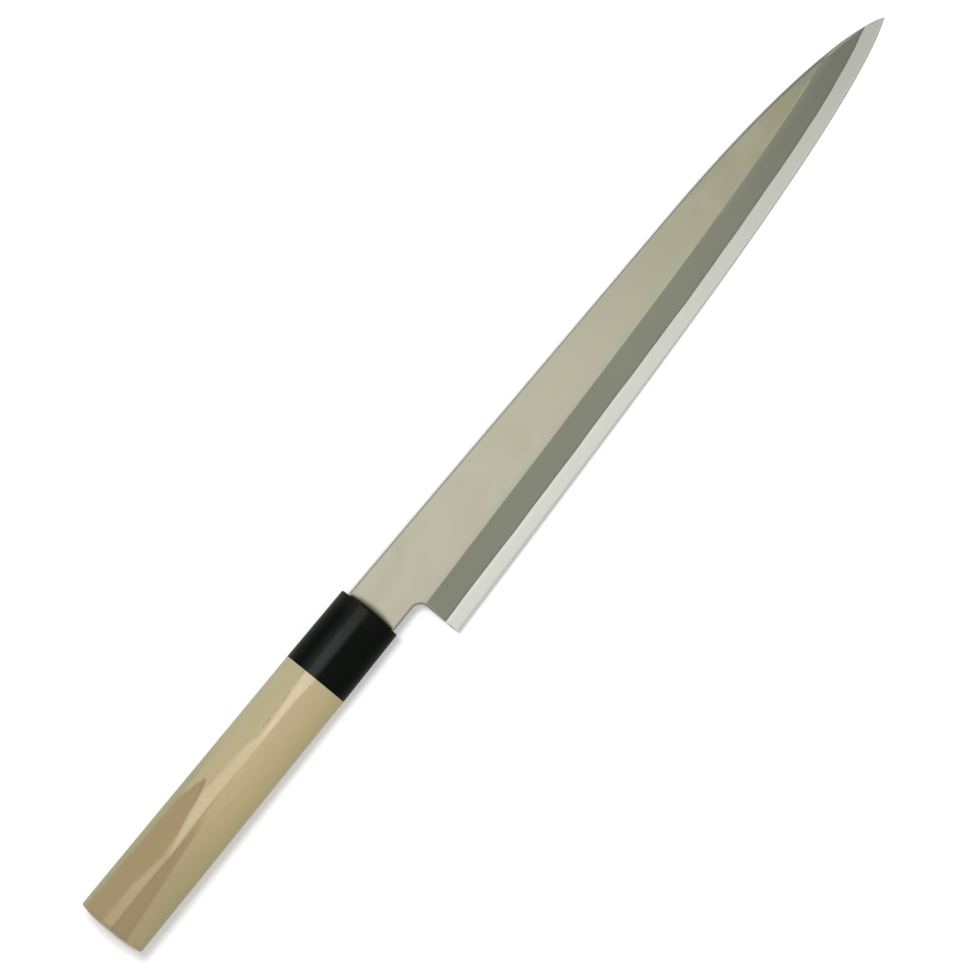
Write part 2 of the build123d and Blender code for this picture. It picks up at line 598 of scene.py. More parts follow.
def triangles(loop: np.ndarray, creases: Sequence[np.ndarray], step: float) -> np.ndarray:
    """Fills a plan loop with triangles of about one size, split along creases.

    Args:
        loop: The loop's points in order.
        creases: Lines that triangles may not cross.
        step: Distance between the points added inside.

    Returns:
        The corners of the triangles, as triangle by corner by (x, y).
    """
    points: list[Point] = []
    edges: list[tuple[int, int]] = []
    known = []
    for line in (np.vstack([loop, loop[:1]]), *creases):
        first = len(points)
        points.extend(tuple(point) for point in line)
        edges.extend((i, i + 1) for i in range(first, len(points) - 1))
        known.extend(spaced(a, b, step / 3) for a, b in zip(line, line[1:]))
    low, high = loop.min(0), loop.max(0)
    row = step * math.sqrt(3) / 2
    rows = np.arange(low[1] + row / 2, high[1], row)
    grid = np.array(
        [(x, y) for i, y in enumerate(rows) for x in np.arange(low[0] + step * (i % 2) / 2, high[0], step)]
    )
    grid = grid[inside(grid, loop)]
    near = np.vstack(known)
    gap = np.min(np.hypot(*(grid[:, None, :] - near[None, :, :]).transpose(2, 0, 1)), axis=1)
    points.extend(tuple(point) for point in grid[gap > step * 0.5])
    found = delaunay_2d_cdt([Vector(point) for point in points], edges, [], 0, TOUCH)
    corners = np.array(found[0])[np.array(found[2])]
    first, second = corners[:, 1] - corners[:, 0], corners[:, 2] - corners[:, 0]
    area = np.abs(first[:, 0] * second[:, 1] - first[:, 1] * second[:, 0]) / 2
    return corners[inside(corners.mean(axis=1), loop) & (area > SLIVER)]


@dataclass
class Rim:
    """The blade's outline in plan, point by point, with the rounding of its arrises."""

    shape: BladeShape
    outer: np.ndarray
    inward: np.ndarray
    round: np.ndarray
    labels: list[str]
    ease: float = 0.8
    ease_slope: float = 0.45
    back_ease: float = 0.25
    height_share: float = 0.35
    weld_room: float = 2.0

    def past_weld(self, points: np.ndarray) -> np.ndarray:
        """Returns how far up the bevel points lie past the weld line."""
        along, rise = self.shape.bevel_place(points)
        return rise - self.shape.weld_share(along)

    def top_ease(self) -> np.ndarray:
        """Works out the rounding along the upper side.

        Returns:
            Its size at each point of the outline.
        """
        height = self.shape.top_height(self.outer) - self.shape.back
        past = np.abs(self.past_weld(self.outer)) * self.weld_room
        past[[label == "weld" for label in self.labels]] = 0
        return self.round * np.minimum.reduce([height * self.height_share, past, height * 0 + self.ease])

    def bottom_ease(self) -> np.ndarray:
        """Returns the size of the rounding along the back."""
        height = np.minimum(self.shape.top_height(self.outer), self.shape.weld_height(self.outer[:, 0]))
        return self.round * np.minimum((height - self.shape.back) * self.height_share, self.back_ease)

    def inner(self, ease: np.ndarray) -> np.ndarray:
        """Returns the outline drawn in by the rounding."""
        return self.outer + self.inward * ease[:, None]

    def split(self, label: str, level: Callable[[np.ndarray], np.ndarray]) -> None:
        """Adds a point wherever the drawn-in outline crosses a line.

        Args:
            label: Name for the points added.
            level: Gives plan points on the line zero, and the line's two sides different signs.
        """
        value = level(self.inner(self.top_ease()))
        for i in reversed(np.nonzero(value[:-1] * value[1:] < 0)[0]):
            share = value[i] / (value[i] - value[i + 1])
            outer = blend(self.outer[i], self.outer[i + 1], share)
            inward = blend(self.inward[i], self.inward[i + 1], share)
            self.outer = np.insert(self.outer, i + 1, outer, axis=0)
            self.inward = np.insert(self.inward, i + 1, inward / np.hypot(*inward), axis=0)
            self.round = np.insert(self.round, i + 1, 1.0)
            self.labels.insert(i + 1, label)

    def ends(self, label: str) -> tuple[int, int]:
        """Returns the two places of a label: the one on the spine, then the one at the heel."""
        first, second = (i for i, name in enumerate(self.labels) if name == label)
        return first, second

    def columns(self, steps: int) -> np.ndarray:
        """Rows of points down the blade's side, from the upper face round to the back.

        Args:
            steps: Faces across each rounding.

        Returns:
            Points, as outline point by level by (x, y, z).
        """
        top_ease, bottom_ease = self.top_ease(), self.bottom_ease()
        turn = np.radians(np.linspace(90, 0, steps + 1))
        top = self.shape.top_height(self.inner(top_ease))
        rows = []
        for angle in turn:
            plan = self.inner(top_ease * (1 - math.cos(angle)))
            drop = top_ease * self.ease_slope
            rows.append(np.column_stack([plan, top - drop * (1 - math.sin(angle))]))
        wall_top = top - drop
        meeting = np.where(self.past_weld(self.outer) > 0, self.shape.interface_height(self.outer), wall_top)
        meeting[list(self.ends("weld"))] = wall_top[list(self.ends("weld"))]
        rows.append(np.column_stack([self.outer, meeting]))
        for angle in turn[::-1]:
            plan = self.inner(bottom_ease * (1 - math.cos(angle)))
            level = self.shape.back + bottom_ease * (1 - math.sin(angle))
            rows.append(np.column_stack([plan, level]))
        return np.stack(rows, axis=1)


@dataclass
class Blade:
    """The laminated blade: soft iron with its neck and tang, and the hard steel under it."""

    resting: Resting
    shape: BladeShape = field(default_factory=BladeShape)
    tang_length: float = 85.0
    tang_front: Point = (13.0, 3.4)
    tang_end: Point = (6.5, 2.2)
    step: float = 1.0
    mesh_step: float = 2.2
    round_steps: int = 3
    spine_points: int = 100
    edge_points: int = 260
    corner_points: int = 12
    line_points: int = 240
    crease: float = 5.0

    def make_rim(self) -> Rim:
        """Draws the blade's outline in plan.

        Returns:
            The outline, from the collar along the spine to the tip, and back by edge, heel and neck.
        """
        shape = self.shape
        bend = (shape.bend_at, shape.bend_above)
        straight = spaced((0, shape.neck_above), bend, self.step * 2)
        curve = bezier(shape.spine_guides(), np.linspace(0, 1, self.spine_points))[:-1]
        slope = np.gradient(curve, axis=0)
        lean = np.column_stack([slope[:, 1], -slope[:, 0]]) / np.hypot(*slope.T)[:, None]
        share = np.linspace(0, 1, shape.samples)
        heel = np.interp(shape.heel_setback, bezier(shape.edge_guides(), share)[:, 0], share)
        edge = bezier(shape.edge_guides(), np.linspace(1, heel, self.edge_points))
        radius = shape.corner_radius
        centre = np.array([shape.heel_setback - radius, -shape.neck_below - radius])
        turn = np.radians(np.linspace(0, 90, self.corner_points))
        bow = np.column_stack([np.cos(turn), np.sin(turn)])
        cut = spaced(edge[-1], centre + bow[0] * radius, self.step)[1:]
        neck = spaced(centre + bow[-1] * radius, (0, -shape.neck_below), self.step)[1:]
        parts = [
            (straight, np.tile((0.0, -1.0), (len(straight), 1)), 1.0),
            (curve, lean, 1.0),
            (edge, np.tile((0.0, 1.0), (len(edge), 1)), 0.0),
            (cut, np.tile((1.0, 0.0), (len(cut), 1)), 1.0),
            (centre + bow * radius, bow, 1.0),
            (np.vstack([neck, (0, -shape.neck_below)]), np.tile((0.0, 1.0), (len(neck) + 1, 1)), 1.0),
        ]
        rim = Rim(
            shape,
            np.vstack([points for points, _, _ in parts]),
            np.vstack([inward for _, inward, _ in parts]),
            np.concatenate([np.full(len(points), size) for points, _, size in parts]),
            [""] * sum(len(points) for points, _, _ in parts),
        )
        rim.split("weld", rim.past_weld)
        rim.split("lamina", lambda points: points[:, 0] - shape.lamina_setback)
        rim.split("ridge", lambda points: shape.bevel_place(points)[1] - 1)
        rim.split("keen", self.past_keen)
        return rim

    def past_keen(self, points: np.ndarray) -> np.ndarray:
        """Returns how far up the bevel points lie past the fine second bevel."""
        along, rise = self.shape.bevel_place(points)
        return rise - self.shape.keen_share(along)

    def line(self, ends: np.ndarray, level: Callable[[np.ndarray], np.ndarray]) -> np.ndarray:
        """Draws a line along the bevel.

        Args:
            ends: Its two end points on the outline.
            level: Gives the line's share of the way up the bevel, for shares along the edge.

        Returns:
            Its points, from the first end to the second.
        """
        along, _ = self.shape.bevel_place(ends)
        share = np.linspace(along[0], along[1], self.line_points)[1:-1]
        foot, top = self.shape.ruling(share)
        middle = blend(foot, top, np.atleast_1d(level(share))[:, None])
        return np.vstack([ends[:1], middle, ends[1:]])

    def sheet(
        self,
        owners: Callable[[np.ndarray], list[list[tuple[Shell, Face]]]],
        loop: np.ndarray,
        creases: Sequence[np.ndarray],
        height: Callable[[np.ndarray], np.ndarray],
    ) -> None:
        """Fills a plan loop with a surface.

        Args:
            owners: Gives the shells and finishes of the triangles round some middles.
            loop: The loop's points.
            creases: Lines across it that stay edges of the mesh.
            height: Gives the height over plan points.
        """
        corners = triangles(loop, creases, self.mesh_step)
        levels = height(corners.reshape(-1, 2)).reshape(len(corners), 3, 1)
        faces = np.concatenate([corners, levels], axis=2)
        for owned, points in zip(owners(corners.mean(axis=1)), faces):
            for shell, finish in owned:
                shell.face(points, finish)

    def build(self, materials: dict[Face, bpy.types.Material]) -> list[bpy.types.Object]:
        """Builds the blade's two pieces.

        Args:
            materials: The material of each finish.

        Returns:
            The iron and the steel.
        """
        shape = self.shape
        iron, steel = Shell("blade_soft_iron"), Shell("blade_hard_steel")
        rim = self.make_rim()
        columns = rim.columns(self.round_steps)
        upper, lower = columns[:, 0, :2], columns[:, -1, :2]
        weld_ends, keen_ends, ridge_ends = (list(rim.ends(name)) for name in ("weld", "keen", "ridge"))
        lamina_ends = list(rim.ends("lamina"))
        weld = self.line(upper[weld_ends], shape.weld_share)
        keen = self.line(upper[keen_ends], shape.keen_share)
        ridge = self.line(upper[ridge_ends], np.ones_like)

        def upper_side(middles: np.ndarray) -> list[list[tuple[Shell, Face]]]:
            """Finds what the upper side belongs to at some points.

            Args:
                middles: Plan points, one row each.

            Returns:
                The shell and finish at each point.
            """
            zones = [(steel, Face.KEEN), (steel, Face.BRIGHT), (iron, Face.MISTY), (iron, Face.FLAT)]
            lines = (self.past_keen, rim.past_weld, lambda p: shape.bevel_place(p)[1] - 1)
            passed = sum((line(middles) > 0).astype(int) for line in lines)
            return [[zones[count]] for count in passed]

        self.sheet(upper_side, upper, [keen, weld, ridge], shape.top_height)

        meeting = np.vstack(
            [
                rim.outer[lamina_ends[0] : weld_ends[0]],
                weld,
                rim.outer[weld_ends[1] + 1 : lamina_ends[1] + 1],
            ]
        )
        hidden = [(iron, Face.INNER), (steel, Face.INNER)]
        self.sheet(lambda p: [hidden] * len(p), meeting, [], shape.interface_height)

        hollow = shape.hollow_rim(self.step)

        def back_side(middles: np.ndarray) -> list[list[tuple[Shell, Face]]]:
            """Finds what the back belongs to at some points.

            Args:
                middles: Plan points, one row each.

            Returns:
                The shell and finish at each point.
            """
            zones = [(iron, Face.RIM), (steel, Face.RIM), (steel, Face.HOLLOW)]
            passed = (middles[:, 0] > shape.lamina_setback).astype(int) + inside(middles, hollow)
            return [[zones[count]] for count in passed]

        creases = [lower[lamina_ends], np.vstack([hollow, hollow[:1]])]
        self.sheet(back_side, lower, creases, lambda p: shape.back + shape.hollow_depth_at(p))

        self.add_sides(iron, steel, rim, columns)
        half = self.round_steps + 1
        end_wall = np.vstack([columns[lamina_ends[0], half:], columns[lamina_ends[1], half:][::-1]])
        for shell in (iron, steel):
            shell.face(end_wall, Face.INNER)
        iron.wedge(self.tang_front, self.tang_end, self.tang_length, Face.INNER)
        pieces = []
        for shell, marks in ((iron, shape.marks), (steel, shape.steel_marks)):
            shell.close_doubles()
            if shell is iron:
                shell.fill(0, Face.INNER)
            pieces.append(shell.piece(self.resting, materials, self.crease, marks))
        return pieces

    def add_sides(self, iron: Shell, steel: Shell, rim: Rim, columns: np.ndarray) -> None:
        """Adds the blade's sides with their roundings.

        Args:
            iron: The iron's shell.
            steel: The steel's shell.
            rim: The outline.
            columns: Its points down the side.
        """
        past = rim.past_weld(rim.outer)
        past[list(rim.ends("weld"))] = 0
        for i in range(len(columns) - 1):
            neck = columns[i : i + 2, 0, 0].max() <= self.shape.lamina_setback + 0.001
            above = past[i] >= 0 and past[i + 1] >= 0
            for level in range(columns.shape[1] - 1):
                shell = iron if neck or (above and level <= self.round_steps) else steel
                finish = Face.SPINE if rim.round[i] + rim.round[i + 1] > 0 else Face.KEEN
                a, b = columns[i, level], columns[i + 1, level]
                c, d = columns[i + 1, level + 1], columns[i, level + 1]
                shell.face([a, b, c, d], finish)


@dataclass(frozen=True)
class Value:
    """A number or vector in a node tree, for use in Python expressions."""

    tree: "Tree"
    socket: Any

    def math(self, operation: str, *others: Any) -> "Value":
        """Adds a Math node on this value and others.

        Args:
            operation: The node's operation.
            others: Numbers or values for its further sockets.

        Returns:
            The node's result.
        """
        return self.tree.math(operation, self, *others)

    def __add__(self, other: Any) -> "Value":
        """Returns the sum."""
        return self.math("ADD", other)

    def __radd__(self, other: Any) -> "Value":
        """Returns the sum."""
        return self.math("ADD", other)

    def __sub__(self, other: Any) -> "Value":
        """Returns the difference."""
        return self.math("SUBTRACT", other)

    def __rsub__(self, other: Any) -> "Value":
        """Returns the difference, the other way round."""
        return self.tree.math("SUBTRACT", other, self)

    def __mul__(self, other: Any) -> "Value":
        """Returns the product."""
        return self.math("MULTIPLY", other)

    def __rmul__(self, other: Any) -> "Value":
        """Returns the product."""
        return self.math("MULTIPLY", other)

    def __truediv__(self, other: Any) -> "Value":
        """Returns the quotient."""
        return self.math("DIVIDE", other)

    def __neg__(self) -> "Value":
        """Returns the negative."""
        return self.math("MULTIPLY", -1.0)

    def __abs__(self) -> "Value":
        """Returns the size without its sign."""
        return self.math("ABSOLUTE")


class Tree:
    """Adds nodes to a shader or geometry node tree."""

    def __init__(self, nodes: bpy.types.NodeTree) -> None:
        """Starts from an empty tree.

        Args:
            nodes: The tree to fill.
        """
        self.nodes = nodes
        nodes.nodes.clear()

    def feed(self, socket: Any, value: Any) -> None:
        """Gives a socket its value, or links it.

        Args:
            socket: The socket.
            value: A number, a colour, a vector or a value of this tree.
        """
        if isinstance(value, Value):
            self.nodes.links.new(value.socket, socket)
        elif socket.type == "RGBA":
            socket.default_value = (*value, 1.0)
        else:
            socket.default_value = value

    def node(self, kind: str, settings: dict[str, Any], sockets: dict[Any, Any]) -> Any:
        """Adds any node.

        Args:
            kind: The node's type.
            settings: Its settings, or a ramp's stops as places and greys.
            sockets: What its sockets hold, by name or number.

        Returns:
            The node.
        """
        node = self.nodes.nodes.new(kind)
        for name, setting in settings.items():
            if name == "stops":
                self.set_stops(node.color_ramp, setting)
            else:
                setattr(node, name, setting)
        for key, value in sockets.items():
            self.feed(node.inputs[key], value)
        return node

    @staticmethod
    def set_stops(ramp: bpy.types.ColorRamp, stops: Sequence[Point]) -> None:
        """Gives a ramp its stops.

        Args:
            ramp: The ramp, which has two stops.
            stops: Place and grey of each stop.
        """
        for place, _ in stops[2:]:
            ramp.elements.new(place)
        for element, (place, grey) in zip(ramp.elements, stops):
            element.position = place
            element.color = (grey, grey, grey, 1.0)

    def add(
        self,
        kind: str,
        settings: dict[str, Any] | None = None,
        sockets: dict[Any, Any] | None = None,
        out: Any = 0,
    ) -> Value:
        """Adds any node.

        Args:
            kind: The node's type.
            settings: Its settings.
            sockets: What its sockets hold, by name or number.
            out: The output wanted, by name or number.

        Returns:
            That output's value.
        """
        return Value(self, self.node(kind, settings or {}, sockets or {}).outputs[out])

    def math(self, operation: str, *values: Any) -> Value:
        """Adds a Math node.

        Args:
            operation: Its operation.
            values: Numbers or values for its sockets.

        Returns:
            Its result.
        """
        return self.add("ShaderNodeMath", {"operation": operation}, dict(enumerate(values)))

    def vector(self, x: Any, y: Any, z: Any) -> Value:
        """Returns a vector of three numbers or values."""
        return self.add("ShaderNodeCombineXYZ", None, {0: x, 1: y, 2: z})

    def scaled(self, vector: Value, scale: Any) -> Value:
        """Returns a vector multiplied by a number or value."""
        return self.add("ShaderNodeVectorMath", {"operation": "SCALE"}, {0: vector, "Scale": scale})

    def added(self, first: Value, second: Value) -> Value:
        """Returns the sum of two vectors."""
        return self.add("ShaderNodeVectorMath", {"operation": "ADD"}, {0: first, 1: second})

    def stretched(self, vector: Value, scales: Sequence[float]) -> Value:
        """Returns a vector with each of its parts multiplied by a number."""
        settings = {"operation": "MULTIPLY"}
        return self.add("ShaderNodeVectorMath", settings, {0: vector, 1: tuple(scales)})

    def parts(self, vector: Value) -> tuple[Value, Value, Value]:
        """Splits a vector.

        Args:
            vector: The vector.

        Returns:
            Its three parts.
        """
        node = self.node("ShaderNodeSeparateXYZ", {}, {0: vector})
        x, y, z = (Value(self, socket) for socket in node.outputs)
        return x, y, z

    def step(self, value: Any, low: float, high: float) -> Value:
        """Returns a smooth rise from 0 at low to 1 at high."""
        settings = {"interpolation_type": "SMOOTHSTEP"}
        return self.add("ShaderNodeMapRange", settings, {0: value, 1: low, 2: high})

    def fall(self, value: Any, low: float, high: float) -> Value:
        """Returns a smooth fall from 1 at low to 0 at high."""
        return 1.0 - self.step(value, low, high)

    def within(self, value: Any, low: Any, high: Any, soft: float) -> Value:
        """Returns 1 between two limits and 0 outside them.

        Args:
            value: What is compared.
            low: The lower limit.
            high: The upper limit.
            soft: Half the width over which each limit fades.

        Returns:
            The share.
        """
        return self.step(value - low, -soft, soft) * self.fall(value - high, -soft, soft)

    def profile(self, value: Value, stops: Sequence[Point]) -> Value:
        """Returns the height of a line drawn through points, given as places and heights.

        Args:
            value: The place.
            stops: The points, in order of their places.

        Returns:
            The height there.
        """
        places, heights = zip(*stops)
        first, low = places[0], min(heights)
        run, rise = places[-1] - first, max(heights) - low
        greys = [((place - first) / run, (height - low) / rise) for place, height in stops]
        settings = {"stops": greys}
        return self.add("ShaderNodeValToRGB", settings, {0: (value - first) / run}) * rise + low

    def noise(self, vector: Value, scale: float, detail: float = 3.0, rough: float = 0.5) -> Value:
        """Returns a noise between 0 and 1, mostly near a half.

        Args:
            vector: Where to read it.
            scale: Its cells to a unit of the vector.
            detail: Its octaves.
            rough: How strong the finer octaves are.

        Returns:
            The noise.
        """
        sockets = {"Vector": vector, "Scale": scale, "Detail": detail, "Roughness": rough}
        return self.add("ShaderNodeTexNoise", None, sockets)

    def mix(self, first: Any, second: Any, share: Any) -> Value:
        """Mixes two colours.

        Args:
            first: Colour at a share of 0.
            second: Colour at a share of 1.
            share: How much of the second.

        Returns:
            The mixed colour.
        """
        settings = {"data_type": "RGBA", "clamp_factor": True}
        return self.add("ShaderNodeMix", settings, {0: share, 6: first, 7: second}, out=2)


def tone(red: float, green: float, blue: float) -> Colour:
    """Converts a colour of the screen.

    Args:
        red: Its red, from 0 to 255.
        green: Its green.
        blue: Its blue.

    Returns:
        The linear colour.
    """
    r, g, b = (
        value / 255 / 12.92 if value < 10.3 else ((value / 255 + 0.055) / 1.055) ** 2.4
        for value in (red, green, blue)
    )
    return r, g, b


@dataclass(frozen=True)
class Finish:
    """What all finishes share: a name, and the knife's axes as coordinates in millimetres."""

    resting: Resting
    name: str = "finish"

    def coordinates(self, tree: Tree) -> Value:
        """Finds where a point lies in the knife's axes.

        Args:
            tree: The material's tree.

        Returns:
            Its place in millimetres.
        """
        back = self.resting.matrix.inverted()
        place = tree.add("ShaderNodeTexCoord", out="Object")
        sockets = {
            "Vector": place,
            "Location": back.translation / MM,
            "Rotation": back.to_euler("XYZ"),
            "Scale": (1 / MM,) * 3,
        }
        return tree.add("ShaderNodeMapping", {"vector_type": "POINT"}, sockets)

    def dress(self, tree: Tree, place: Value) -> dict[str, Any]:
        """Returns what the shader's sockets hold."""
        raise NotImplementedError

    def build(self) -> bpy.types.Material:
        """Builds the material.

        Returns:
            The material, with one shader.
        """
        material = bpy.data.materials.new(self.name)
        material.use_nodes = True
        tree = Tree(material.node_tree)
        sockets = self.dress(tree, self.coordinates(tree))
        shader = tree.add("ShaderNodeBsdfPrincipled", None, sockets)
        tree.node("ShaderNodeOutputMaterial", {}, {"Surface": shader})
        return material

    @staticmethod
    def relief(tree: Tree, height: Value, depth: float) -> Value:
        """Returns the normal of a relief.

        Args:
            tree: The material's tree.
            height: Its height, from 0 to 1.
            depth: How deep it is in millimetres.

        Returns:
            The normal.
        """
        return tree.add("ShaderNodeBump", None, {"Strength": 1.0, "Distance": depth * MM, "Height": height})


@dataclass(frozen=True)
class GroundMetal(Finish):
    """Metal ground with fine lines in one direction, clouded, and darkened towards the tip by painted shade.
    """

    light: Colour = (0.5, 0.5, 0.5)
    dark: Colour = (0.4, 0.4, 0.4)
    # The far colour is painted shade, which the metal darkens to towards the tip.
    far: Colour | None = None
    tip_shade_span: Point = (0.1, 1.0)
    line_scales: tuple[float, float, float] = (0.03, 6.0, 6.0)
    turn_deg: float = 0.0
    lines: float = 0.5
    clouds: float = 0.5
    cloud_size: float = 14.0
    roughness: float = 0.35
    depth: float = 0.004
    line_detail: float = 5.0
    line_rough: float = 0.62
    rough_lines: float = 0.12
    rough_clouds: float = 0.1

    def streaks(self, tree: Tree, place: Value) -> Value:
        """Draws the grinding lines.

        Args:
            tree: The material's tree.
            place: Place of a point in the knife's axes.

        Returns:
            Their pattern, from 0 to 1.
        """
        turned = tree.add(
            "ShaderNodeVectorRotate",
            {"rotation_type": "Z_AXIS"},
            {"Vector": place, "Angle": math.radians(self.turn_deg)},
        )
        return tree.noise(tree.stretched(turned, self.line_scales), 1.0, self.line_detail, self.line_rough)

    def tint(self, tree: Tree, place: Value, marks: tuple[Value, Value, Value], colour: Value) -> Value:
        """Returns the colour with whatever a finish adds to it."""
        return colour

    def dress(self, tree: Tree, place: Value) -> dict[str, Any]:
        """Works out what the shader's sockets hold.

        Args:
            tree: The material's tree.
            place: Place of a point in the knife's axes.

        Returns:
            The sockets' contents by name.
        """
        streak = self.streaks(tree, place)
        cloud = tree.noise(place, 1 / self.cloud_size, 3.0)
        share = 0.5 + (streak - 0.5) * self.lines + (cloud - 0.5) * self.clouds
        colour = tree.mix(self.dark, self.light, share)
        marks = tree.parts(tree.add("ShaderNodeAttribute", {"attribute_name": "marks"}, out="Vector"))
        # Painted shade: towards the tip the colour is mixed into the darker far colour.
        if self.far is not None:
            colour = tree.mix(colour, self.far, tree.step(marks[0], *self.tip_shade_span))
        colour = self.tint(tree, place, marks, colour)
        uneven = self.roughness + (streak - 0.5) * self.rough_lines + (cloud - 0.5) * self.rough_clouds
        return {
            "Base Color": colour,
            "Metallic": 1.0,
            "Roughness": uneven,
            "Normal": self.relief(tree, streak, self.depth),
        }


@dataclass(frozen=True)
class FlatSide(GroundMetal):
    """The flat upper side: satin, faint clouds, a painted highlight on the ridge line, and painted shade by
    the tip and at its foot in the collar.
    """

    rosy: Colour = tone(196, 184, 168)
    green: Colour = tone(178, 182, 156)
    # Painted light: the line colour is a highlight on the ridge line, and the two colours after it are
    # painted shade, by the tip and at the foot.
    line: Colour = tone(190, 190, 168)
    tip_corner_shade: Colour = tone(147, 150, 136)
    foot: Colour = tone(22, 20, 12)
    beside_ridge: float = 2.2
    ridge_highlight_width: float = 0.5
    line_from: Point = (0.6, 0.85)
    tip_corner_line: tuple[float, float, float] = (0.43, 1.0, 89.4)
    collar_shade_depth: float = 3.3
    collar_shade_curve: float = 0.03
    collar_shade_least: float = 0.9
    collar_shade_soft: Point = (0.1, 1.0)
    patch_scales: tuple[float, float, float] = (0.035, 0.06, 0.06)
    rosy_from: Point = (0.5, 0.68)
    rosy_share: float = 0.35
    green_to: Point = (0.34, 0.5)
    green_share: float = 0.4
    beside_fade: Point = (0.4, 0.6)
    beside_share: float = 0.5
    line_share: float = 0.6
    tip_corner_soft: Point = (-0.5, 0.7)
    tip_corner_from: Point = (200.0, 205.0)

    def tint(self, tree: Tree, place: Value, marks: tuple[Value, Value, Value], colour: Value) -> Value:
        """Adds the clouds, the painted highlight on the ridge line, the painted shade by the tip and the
        collar's painted shadow and reflection at the foot.

        Args:
            tree: The material's tree.
            place: Place of a point in the knife's axes.
            marks: Share along the edge, and distances past the weld line and the ridge line.
            colour: The ground metal's colour.

        Returns:
            The colour.
        """
        along, _, gap = marks
        x, y, _ = tree.parts(place)
        patch = tree.noise(tree.stretched(place, self.patch_scales), 1.0, 3.0)
        colour = tree.mix(colour, self.rosy, tree.step(patch, *self.rosy_from) * self.rosy_share)
        colour = tree.mix(colour, self.green, tree.fall(patch, *self.green_to) * self.green_share)
        near = tree.fall(gap, 0.0, self.beside_ridge) * tree.fall(along, *self.beside_fade)
        colour = tree.mix(colour, self.green, near * self.beside_share)
        # Painted highlight: a pale line along the ridge line, over the blade's front part.
        pale = tree.fall(gap, self.ridge_highlight_width * 0.5, self.ridge_highlight_width)
        colour = tree.mix(colour, self.line, pale * tree.step(along, *self.line_from) * self.line_share)
        # Painted shade: the spine's side close to the tip is drawn darker.
        slope, rise, level = self.tip_corner_line
        past = tree.step(x * slope + y * rise - level, *self.tip_corner_soft)
        colour = tree.mix(colour, self.tip_corner_shade, past * tree.step(x, *self.tip_corner_from))
        # Painted shadow and reflection of the collar: the blade's foot is drawn dark, reaching furthest in
        # the middle, where the collar stands highest.
        deep = (self.collar_shade_depth - y * y * self.collar_shade_curve).math("MAXIMUM", self.collar_shade_least)
        return tree.mix(colour, self.foot, tree.fall(x / deep, *self.collar_shade_soft))


@dataclass(frozen=True)
class MistyBevel(GroundMetal):
    """The soft iron's part of the bevel, dull and cloudy, darker beside the weld line."""

    rim: Colour = tone(118, 121, 104)
    rim_width: float = 1.1
    lift: Colour = tone(158, 160, 140)
    lift_width: float = 3.0
    mist_scale: float = 0.4
    mist_detail: float = 4.0
    mist_reach: float = 1.2
    rim_share: float = 0.42
    lift_from: Point = (0.3, 0.6)
    lift_share: float = 0.45

    def tint(self, tree: Tree, place: Value, marks: tuple[Value, Value, Value], colour: Value) -> Value:
        """Darkens the metal beside the weld line and lightens it below the ridge line.

        Args:
            tree: The material's tree.
            place: Place of a point in the knife's axes.
            marks: Share along the edge, and distances past the weld line and the ridge line.
            colour: The ground metal's colour.

        Returns:
            The colour.
        """
        along, gap, under = marks
        wander = (tree.noise(place, self.mist_scale, self.mist_detail) - 0.5) * self.mist_reach
        beside = tree.fall(gap + wander, 0.0, self.rim_width)
        colour = tree.mix(colour, self.rim, beside * self.rim_share)
        below = tree.step(under, -self.lift_width, 0.0) * tree.step(along, *self.lift_from)
        return tree.mix(colour, self.lift, below * self.lift_share)


@dataclass(frozen=True)
class EasedSide(GroundMetal):
    """The blade's sides and their rounded arrises, darker at the top and below the neck, with painted shade
    towards the tip.
    """

    top: Colour = tone(196, 193, 174)
    far_top: Colour = tone(136, 137, 122)
    top_level: float = 1.9
    top_slope: float = 0.0069
    top_depth: Point = (0.03, 0.3)
    neck: Colour = tone(150, 151, 140)
    neck_below: Point = (-4.0, 0.0)
    neck_end: Point = (30.0, 45.0)
    neck_share: float = 0.9

    def tint(self, tree: Tree, place: Value, marks: tuple[Value, Value, Value], colour: Value) -> Value:
        """Blends the arris into the flat side with painted shade towards the tip, and darkens the neck's and
        the heel's lower sides.

        Args:
            tree: The material's tree.
            place: Place of a point in the knife's axes.
            marks: Share along the edge, and two distances that are not used here.
            colour: The ground metal's colour.

        Returns:
            The colour.
        """
        x, y, z = tree.parts(place)
        drop = self.top_level - x * self.top_slope - z
        # Painted shade: the arris's top darkens towards the tip.
        top = tree.mix(self.top, self.far_top, tree.step(marks[0], *self.tip_shade_span))
        colour = tree.mix(top, colour, tree.step(drop, *self.top_depth))
        below = tree.fall(y, *self.neck_below) * tree.fall(x, *self.neck_end)
        return tree.mix(colour, self.neck, below * self.neck_share)


@dataclass(frozen=True)
class BrightBevel(GroundMetal):
    """The hard steel's part of the bevel, polished, and honed duller beside the edge."""

    honed: Colour = tone(210, 212, 202)
    honed_width: Point = (0.3, 1.5)
    honed_fade: Point = (0.4, 0.9)
    honed_loss: float = 0.7
    honed_share: float = 0.7
    beside_weld: Colour = tone(235, 237, 228)
    weld_width: Point = (-1.6, -0.2)
    weld_fade: Point = (0.1, 0.5)
    weld_share: float = 0.6

    def tint(self, tree: Tree, place: Value, marks: tuple[Value, Value, Value], colour: Value) -> Value:
        """Darkens the metal beside the edge, and lightens it below the weld line near the heel.

        Args:
            tree: The material's tree.
            place: Place of a point in the knife's axes, which is not used here.
            marks: Share along the edge, distance past the weld line and distance from the edge.
            colour: The ground metal's colour.

        Returns:
            The colour.
        """
        along, under, edge = marks
        loss = tree.step(along, *self.honed_fade) * self.honed_loss
        honed = tree.fall(edge, *self.honed_width) * (1.0 - loss)
        colour = tree.mix(colour, self.honed, honed * self.honed_share)
        bright = tree.step(under, *self.weld_width) * tree.fall(along, *self.weld_fade)
        return tree.mix(colour, self.beside_weld, bright * self.weld_share)


